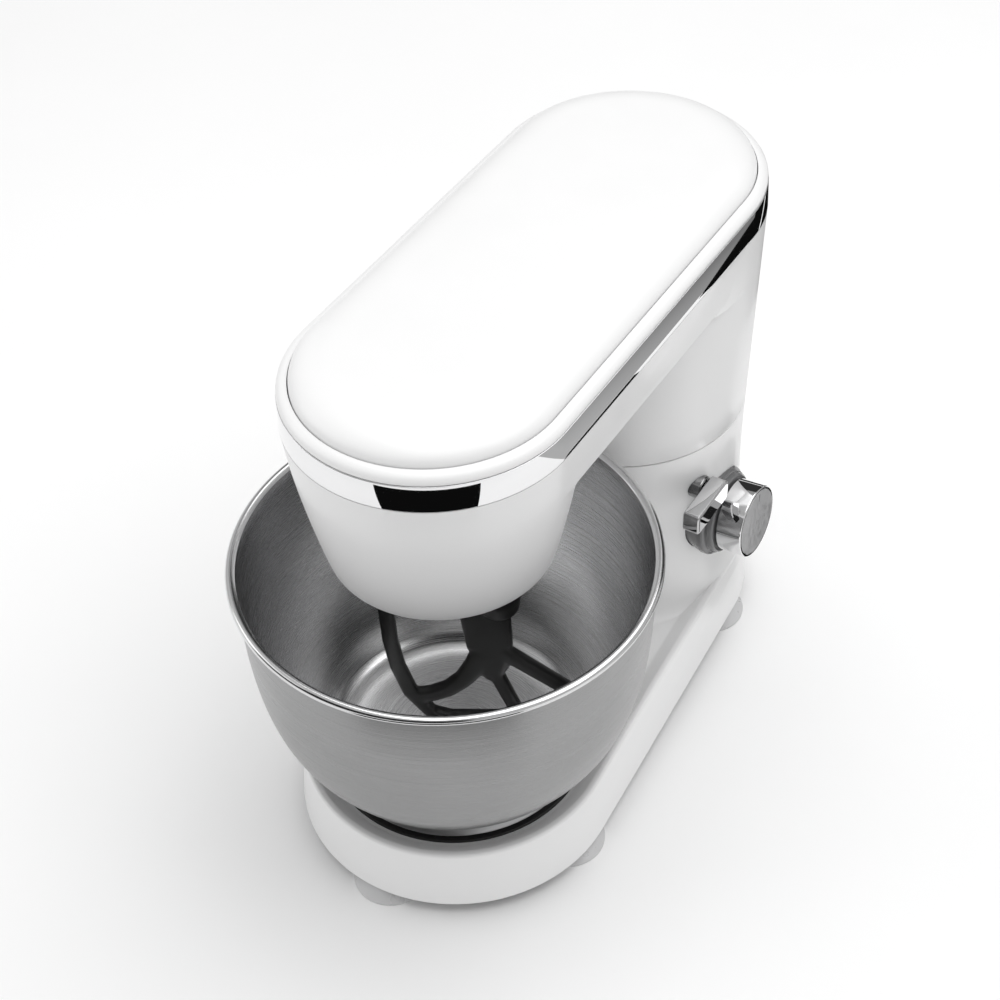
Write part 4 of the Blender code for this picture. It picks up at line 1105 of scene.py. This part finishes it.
def sector(centre_y, near, far, start, end, z=2.0):
    """Points of a level ring sector; angles run from -Y towards +X."""
    points = []
    steps = 24
    for radius, order in ((near, range(steps + 1)), (far, range(steps, -1, -1))):
        for i in order:
            turn = math.radians(start + (end - start) * i / steps)
            points.append((radius * math.sin(turn), centre_y - radius * math.cos(turn), z))
    return points


def wall_card(name, start, end, low, high, glow, radius=1900.0):
    """Upright curved card around the set, between two angles and two heights."""
    steps = max(2, int(abs(end - start) / 10))
    for i in range(steps):
        a = math.radians(start + (end - start) * i / steps)
        b = math.radians(start + (end - start) * (i + 1) / steps)
        corners = []
        for turn, z in ((a, low), (b, low), (b, high), (a, high)):
            corners.append((radius * math.sin(turn), -radius * math.cos(turn), z))
        card("%s_%d" % (name, i), corners, glow)


def studio():
    """White surroundings, soft lamps, and cards that only show in reflections."""
    world = bpy.data.worlds.new("studio")
    world.use_nodes = True
    background = world.node_tree.nodes["Background"]
    background.inputs["Color"].default_value = (1.0, 1.0, 1.0, 1.0)
    background.inputs["Strength"].default_value = 0.56
    scene = bpy.context.scene
    scene.world = world
    scene.view_settings.view_transform = "Standard"
    scene.view_settings.look = "None"
    lamp("key", (0.35, 0.3, 2.0), (0, 0, 0.15), (2.2, 2.2), 29.0)
    lamp("fill", (-1.6, -0.9, 1.0), (0, 0, 0.15), (1.4, 1.2), 5.0)
    card("front_dark", sector(HEAD_FRONT_Y, 250.0, 640.0, -7.0, 62.0), 0.004)
    card("rear_dark", sector(HEAD_REAR_Y, 300.0, 1100.0, 144.0, 163.0, 7.0), 0.004)
    card("rear_dark_2", sector(HEAD_REAR_Y, 300.0, 1100.0, 165.5, 205.0, 7.0), 0.004)
    card("side_grey", [(188, 150, 4), (900, 20, 4), (900, 1000, 4), (188, 620, 4)], 0.46, (180.0, 520.0, 0.2))
    card("side_dark", [(88, 120, 3), (186, 120, 3), (186, 262, 3), (88, 262, 3)], 0.01)
    wall_card("ring_front", -60.0, 40.0, 120.0, 1750.0, 0.02)
    wall_card("ring_rear", 150.0, 235.0, 120.0, 1650.0, 0.03)
    wall_card("ring_rear_high", 150.0, 235.0, 1650.0, 2500.0, 0.3)


def camera():
    """Long-lens view from the front right, high up, with a slight roll."""
    azimuth, elevation, roll = (math.radians(a) for a in (32.99, 43.6, -2.49))
    distance = 1.03296
    target = Vector((0.0, -0.02347, 0.1778))
    level = math.cos(elevation)
    towards = Vector((math.sin(azimuth) * level, -math.cos(azimuth) * level, math.sin(elevation)))
    forward = -towards
    right = forward.cross(Vector((0, 0, 1))).normalized()
    up = right.cross(forward)
    tipped_right = right * math.cos(roll) + up * math.sin(roll)
    tipped_up = up * math.cos(roll) - right * math.sin(roll)
    turn = Matrix((tipped_right, tipped_up, -forward)).transposed().to_4x4()
    data = bpy.data.cameras.new("camera")
    data.lens = 71.83
    data.sensor_width = 36.0
    obj = bpy.data.objects.new("camera", data)
    obj.matrix_world = Matrix.Translation(target + towards * distance) @ turn
    bpy.context.scene.collection.objects.link(obj)
    bpy.context.scene.camera = obj


def build():
    camera()
    base_shell()
    seam_shadow_strip()
    head_shell()
    band()
    bead()
    dome()
    bowl()
    foot_ring()
    seat()
    knob()
    knob_disc()
    bezel()
    lever()
    collar()
    feet()
    screws()
    gland()
    beater()
    planet_disc()
    tool_parts()
    bottom_plate()
    floor()
    studio()


build()
